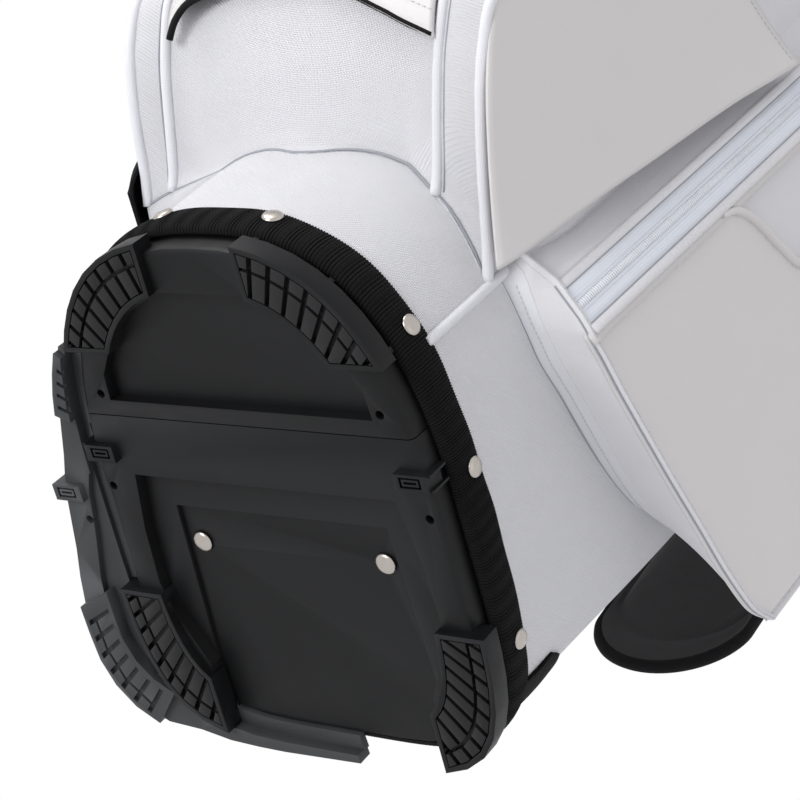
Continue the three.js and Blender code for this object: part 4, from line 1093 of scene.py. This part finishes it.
tape = zip_tape("valuables_zip", -60, 62, on_valuables, 9.5, 3.2)
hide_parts("valuables_zip")
zip_welts = [[on_valuables(a, t, 0.4) for t in spans(-64, 66, 40)] for a in (-11.4, 11.4)]
zip_ends = [[on_valuables(a, t, 0.4) for a in spans(-11, 11, 8)] for t in (-64, 66)]
welts = cords("valuables_zip_welts", [*zip_welts, *zip_ends], 2.6, 12, flat=0.6, up=(0, -1, 0))
finish_piece(welts, LEATHERETTE, "bag")


# ---------------------------------------------------------------- sliders and pullers


def moved(obj, matrix):
    obj.data.transform(matrix)
    return obj


def box_piece(name, size, centre, radius, segments=3):
    """A rounded block in its own axes, millimetres, as a mesh that still has to be placed."""
    bm = bmesh.new()
    bmesh.ops.create_cube(bm, size=1.0)
    for vert in bm.verts:
        vert.co = Vector([vert.co[k] * size[k] + centre[k] for k in range(3)])
    bmesh.ops.bevel(bm, geom=bm.edges[:], offset=radius, segments=segments, profile=0.5, affect="EDGES")
    mesh = bpy.data.meshes.new(name)
    bm.to_mesh(mesh)
    bm.free()
    obj = bpy.data.objects.new(name, mesh)
    bpy.context.scene.collection.objects.link(obj)
    return obj


def merged(name, objects):
    """One mesh out of several that share a finish."""
    bm = bmesh.new()
    for obj in objects:
        bm.from_mesh(obj.data)
        bpy.data.objects.remove(obj)
    mesh = bpy.data.meshes.new(name)
    bm.to_mesh(mesh)
    bm.free()
    made = bpy.data.objects.new(name, mesh)
    bpy.context.scene.collection.objects.link(made)
    return made


def arch_piece(name, path, radius):
    """A bent wire in its own axes, in millimetres."""
    points, faces, _ = cord_data(resample(path, 0.8), radius, 8)
    mesh = bpy.data.meshes.new(name)
    mesh.from_pydata([tuple(p) for p in points], [], faces)
    obj = bpy.data.objects.new(name, mesh)
    bpy.context.scene.collection.objects.link(obj)
    return obj


def slider_and_puller(name, matrix, slider_body, puller_body, slider_node, puller_node, thin):
    """Zip slider and its hanging puller. Own axes: x across the zip, y out of it, z along, 0 at the slider."""
    low, high, wide = -7, 7, 8.4
    plates = [
        box_piece(name + "_a", (wide, 1.5, high - low), (0, 0.9, 0), 0.7),
        box_piece(name + "_b", (wide * 0.55, 2.0, 9), (0, 2.2, 0), 0.8),
        arch_piece(name + "_c", [(0, 1.5, -4.6), (0, 4.4, -4.0), (0, 4.9, 0), (0, 4.4, 3.6), (0, 1.5, 4.2)], 0.8),
    ]
    slider = merged(name + "_slider_fine", plates)
    moved(slider, matrix @ Matrix.Scale(MM, 4))
    finish_piece(slider, NICKEL, slider_body)
    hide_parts(slider_node)
    out = thin
    link = [(-2.2, out, 1.0), (-2.4, out, -6), (-1.8, out, -9.5), (1.8, out, -9.5), (2.4, out, -6), (2.2, out, 1.0), (-2.2, out, 1.0)]
    ring = moved(arch_piece(name + "_link", link, 0.75), matrix @ Matrix.Scale(MM, 4))
    finish_piece(ring, NICKEL, puller_body)
    tab = box_piece(name + "_puller_tab", (6.8, 2.3, 36), (0, out, -26), 1.1, 4)
    for vert in tab.data.vertices:
        vert.co.x *= 0.72 + 0.28 * smooth((-12 - vert.co.z) / 10)
    moved(tab, matrix @ Matrix.Scale(MM, 4))
    finish_piece(tab, TAB, puller_body)
    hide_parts(puller_node)


for side, sign in SIDES:
    low_corner, high_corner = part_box(f"side_slider_{side}")
    middle = (low_corner + high_corner) / 2
    pull_low, pull_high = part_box(f"side_puller_{side}")
    pull_middle = (pull_low + pull_high) / 2
    out = Vector((sign * math.sqrt(0.5), -math.sqrt(0.5), 0))
    across = Vector((-out.y, out.x, 0))
    shift = ZIP_SHIFT * MM * Vector((sign * math.sqrt(0.5), math.sqrt(0.5), 0))
    origin = middle - out * 2.5 * MM
    reach = (pull_middle - origin).dot(out) / MM
    axes = Matrix((-across, out, (0, 0, 1))).transposed().to_4x4()
    place_slider = Matrix.Translation(origin + shift) @ axes
    slider_and_puller(
        f"side_{side}", place_slider, f"side_slider_{side}", f"side_puller_{side}",
        f"side_slider_{side}", f"side_puller_{side}", reach,
    )

low_corner, high_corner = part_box("valuables_slider")
middle = (low_corner + high_corner) / 2
pull_low, pull_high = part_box("valuables_puller")
origin = Vector((middle.x, high_corner.y, middle.z))
turn = Matrix(((0, 0, 1), (0, -1, 0), (1, 0, 0))).transposed().to_4x4()
along_zip = Matrix.Translation(origin) @ turn
reach = (origin.y - (pull_low.y + pull_high.y) / 2) / MM
plates = [
    box_piece("v_a", (8.4, 1.5, 10), (0, 0.9, 0), 0.7),
    box_piece("v_b", (4.6, 2.0, 7), (0, 2.2, 0), 0.8),
    arch_piece("v_c", [(0, 1.5, -3.8), (0, 4.3, -3.4), (0, 4.8, 0), (0, 4.3, 3.0), (0, 1.5, 3.6)], 0.8),
]
slider = moved(merged("valuables_slider_fine", plates), along_zip @ Matrix.Scale(MM, 4))
finish_piece(slider, NICKEL, "valuables_slider")
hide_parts("valuables_slider")
hang = Matrix.Translation(origin) @ Matrix(((1, 0, 0), (0, -1, 0), (0, 0, 1))).transposed().to_4x4()
link_path = [(-2.2, reach, 0.6), (-2.4, reach, -6), (-1.8, reach, -9.5), (1.8, reach, -9.5), (2.4, reach, -6), (2.2, reach, 0.6), (-2.2, reach, 0.6)]
link = moved(arch_piece("valuables_link", link_path, 0.75), hang @ Matrix.Scale(MM, 4))
finish_piece(link, NICKEL, "valuables_puller")
pull_tab = moved(box_piece("valuables_puller_tab", (6.4, 2.3, 35), (0, reach, -26), 1.1, 4), hang @ Matrix.Scale(MM, 4))
finish_piece(pull_tab, TAB, "valuables_puller")
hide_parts("valuables_puller")


# ---------------------------------------------------------------- strap, rings, hooks

STRAP_SHIFT = (0, -5, 9)  # how the pad hangs from the middle of its travel
PAD_CENTRE_X, PAD_CENTRE_Y, PAD_CENTRE_Z, PAD_LEAN = 56, 190, 350, -4
for name in ("strap_ring_upper", "strap_ring_lower"):
    restyle(name, NICKEL, 0.3, 2)
for name in ("strap_hook_upper", "strap_hook_lower"):
    restyle(name, NICKEL, 0.5, 2, "shoulder_strap")
restyle("towel_ring", NICKEL, 0.3, 2, "towel_ring")
for name in ("strap_anchor_upper", "strap_anchor_lower", "towel_loop"):
    restyle(name, BINDING, 0.6, 2)
restyle("strap_webbing", BINDING, 0.6, 2, "shoulder_strap")
pad_low, pad_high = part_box("strap_pad")
pad_centre = (pad_low + pad_high) / 2
PAD_HALF_WIDTH, PAD_HALF_LENGTH = 42, 195


def pad_loop(count=128):
    """Stadium outline of the shoulder pad, as (across, up)."""
    loop = []
    straight = PAD_HALF_LENGTH - PAD_HALF_WIDTH
    for i in range(count):
        turn = 2 * math.pi * i / count
        up = PAD_HALF_WIDTH * math.sin(turn) + math.copysign(straight, math.sin(turn)) * min(1, abs(math.sin(turn)) * 6)
        loop.append((PAD_HALF_WIDTH * math.cos(turn), up))
    return loop


pad_turn = Matrix.Rotation(math.radians(PAD_LEAN), 4, "Y")
pad_place = Matrix.Translation(pad_centre + Vector(STRAP_SHIFT) * MM) @ pad_turn


def pad_object(name, shape, faces, uvs=None):
    points = []
    for x, y, z in shape:
        p = pad_place @ Vector((x * MM, y * MM, z * MM))
        points.append((p.x / MM, p.y / MM - AXIS_Y, p.z / MM))
    return object_from(name, points, faces, uvs)


def pad_shape():
    """Two crowned faces that meet in a rim; the quilted hollow runs just inside the binding."""
    loop = pad_loop()
    count = len(loop)
    rings = []
    for side_y in (-1, 1):
        for share in [0.03, 0.12, 0.25, 0.4, 0.55, 0.68, 0.78, 0.84, 0.875, 0.9, 0.93, 0.97, 1.0]:
            hollow = 2.2 * math.exp(-(((share - 0.87) / 0.03) ** 2))
            half = 6.2 * (1 - share**6) ** 0.5 if share < 0.87 else 4.2 * (1 - ((share - 0.87) / 0.135) ** 4) ** 0.5
            ring = [(a * share, side_y * max(0.5, half - hollow), u * (1 - (1 - share) * 0.9)) for a, u in loop]
            rings.append((side_y, share, ring))
    return loop, rings


def build_pad():
    loop, rings = pad_shape()
    count = len(loop)
    near = [ring for side_y, _, ring in rings if side_y < 0]
    far = [ring for side_y, _, ring in rings if side_y > 0][::-1]
    stack = near + far
    points = [p for ring in stack for p in ring]
    faces = []
    for j in range(len(stack) - 1):
        for i in range(count):
            k = (i + 1) % count
            faces.append((j * count + i, (j + 1) * count + i, (j + 1) * count + k, j * count + k))
    faces.append(tuple(range(count)))
    last = (len(stack) - 1) * count
    faces.append(tuple(last + i for i in reversed(range(count))))
    uvs = [(x * MM, z * MM) for x, y, z in points]
    return pad_object("shoulder_pad", points, faces, uvs), loop


pad, pad_edge = build_pad()
finish_piece(pad, PAD_SKIN, "shoulder_strap")
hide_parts("strap_pad")
binding_path = [(a * 0.985, 0, u * 0.997) for a, u in [*pad_edge, pad_edge[0]]]
b_points, b_faces, b_uvs = cord_data(resample(binding_path, 3.0), 3.4, 12, flat=1.0)
binding = pad_object("shoulder_pad_binding", [tuple(p) for p in b_points], b_faces, b_uvs)
finish_piece(binding, BINDING, "shoulder_strap")


# ---------------------------------------------------------------- cuff, dividers, rods

restyle("top_cuff", PLASTIC, 1.2, 3)
restyle("divider_grid", PLASTIC, 0.8, 3)
restyle("divider_sleeves", LINING, 0.4, 1)
for side, _ in SIDES:
    restyle(f"stay_rod_{side}", STEEL, 0.3, 1)


# ---------------------------------------------------------------- umbrella sleeve

SLEEVE_X, SLEEVE_Y, SLEEVE_REACH, SLEEVE_LOW, SLEEVE_HIGH = -103.0, -100, 15.0, 84, 320


def sleeve_point(turn, z):
    """Half-oval sleeve on the left cover, closed and rounded at its foot."""
    foot = smooth((z - SLEEVE_LOW) / 26) ** 0.5 if z < SLEEVE_LOW + 26 else 1.0
    half = (26 if turn < 0 else 19) * (0.55 + 0.45 * foot)
    reach = SLEEVE_REACH * foot * (1 + 0.05 * math.sin(z / 17) * math.cos(turn))
    return SLEEVE_X - reach * math.cos(turn), SLEEVE_Y + half * math.sin(turn), z


turns = spans(-math.pi / 2, math.pi / 2, 28)
sleeve_levels = [SLEEVE_LOW, *(SLEEVE_LOW + 26 * k**2 for k in spans(0.12, 1, 10)), *spans(118, SLEEVE_HIGH, 40)]
sleeve = sheet("umbrella_sleeve_skin", sleeve_point, turns, sleeve_levels, True)
finish_piece(thicken(sleeve, 0.0016), BINDING, "bag")
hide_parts("umbrella_sleeve")
rim = [sleeve_point(turn, SLEEVE_HIGH) for turn in turns]
finish_piece(cords("umbrella_sleeve_rim", [rim], 1.6, 8), BINDING, "bag")


# ---------------------------------------------------------------- light, floor, camera


def studio():
    scene = bpy.context.scene
    scene.view_settings.view_transform = "Standard"
    scene.view_settings.look = "None"
    world = bpy.data.worlds.new("studio")
    scene.world = world
    world.use_nodes = True
    tree = world.node_tree
    soft = tree.nodes["Background"]
    soft.inputs["Color"].default_value = (0.975, 0.98, 1.0, 1)
    soft.inputs["Strength"].default_value = WORLD_STRENGTH
    seen = tree.nodes.new("ShaderNodeBackground")
    seen.inputs["Color"].default_value = (1, 1, 1, 1)
    seen.inputs["Strength"].default_value = 1.0
    path = tree.nodes.new("ShaderNodeLightPath")
    mix = tree.nodes.new("ShaderNodeMixShader")
    tree.links.new(path.outputs["Is Camera Ray"], mix.inputs["Fac"])
    tree.links.new(soft.outputs[0], mix.inputs[1])
    tree.links.new(seen.outputs[0], mix.inputs[2])
    tree.links.new(mix.outputs[0], tree.nodes["World Output"].inputs["Surface"])
    for name, where, aim, size, power, colour in LAMPS:
        data = bpy.data.lights.new(name, "AREA")
        data.size = size
        data.energy = power
        data.color = colour
        lamp = bpy.data.objects.new(name, data)
        lamp.location = where
        lamp.rotation_mode = "QUATERNION"
        lamp.rotation_quaternion = (Vector(aim) - Vector(where)).to_track_quat("-Z", "Y")
        scene.collection.objects.link(lamp)


# Warm-neutral panels round the bag: name, place, aim, size, watts, colour.
WORLD_STRENGTH = 0.78
LAMPS = (
    ("key", (-1.0, -2.4, 0.6), (0, 0, 0.15), 1.4, 24, (1.0, 0.995, 0.99)),
    ("under", (-0.5, -1.8, -1.8), (0, 0, 0.1), 1.0, 34, (1.0, 1.0, 1.0)),
    ("side", (2.4, -0.2, 0.0), (0, 0, 0.2), 1.6, 2, (1.0, 0.98, 0.97)),
)
studio()


def one_sided_floor():
    """A pale floor just below the bag, seen and lit only from above."""
    mesh = bpy.data.meshes.new("floor")
    reach, level = 3.0, -0.0006
    corners = [(-reach, -reach, level), (reach, -reach, level), (reach, reach, level), (-reach, reach, level)]
    mesh.from_pydata(corners, [], [(0, 1, 2, 3)])
    floor = bpy.data.objects.new("floor", mesh)
    bpy.context.scene.collection.objects.link(floor)
    look = Look("pale_floor", (0.82, 0.82, 0.82), 0.9)
    see_through = look.node("ShaderNodeBsdfTransparent")
    mix = look.node("ShaderNodeMixShader")
    look.link(look.node("ShaderNodeNewGeometry").outputs["Backfacing"], mix.inputs["Fac"])
    look.link(look.surface.outputs[0], mix.inputs[1])
    look.link(see_through.outputs[0], mix.inputs[2])
    look.link(mix.outputs[0], look.tree.nodes["Material Output"].inputs["Surface"])
    mesh.materials.append(look.material)
    floor.visible_shadow = False
    floor.visible_diffuse = False
    floor.visible_glossy = False
    floor.visible_transmission = False


one_sided_floor()

# The camera stands low in front and to the right, looking up at the base with the bag tipped across the view.
CAMERA_PLACE = (0.6283, -0.4541, -0.6544)
CAMERA_RIGHT = (0.81757, 0.23470, 0.52583)
CAMERA_UP = (-0.05931, -0.87399, 0.48231)
CAMERA_LENS = 103.5

camera_data = bpy.data.cameras.new("camera")
camera_data.lens = CAMERA_LENS
camera_data.sensor_width = 36
camera_data.clip_start, camera_data.clip_end = 0.05, 30
camera = bpy.data.objects.new("camera", camera_data)
right, up = Vector(CAMERA_RIGHT), Vector(CAMERA_UP)
turn = Matrix((right, up, right.cross(up))).transposed().to_4x4()
camera.matrix_world = Matrix.Translation(CAMERA_PLACE) @ turn
bpy.context.scene.collection.objects.link(camera)
bpy.context.scene.camera = camera
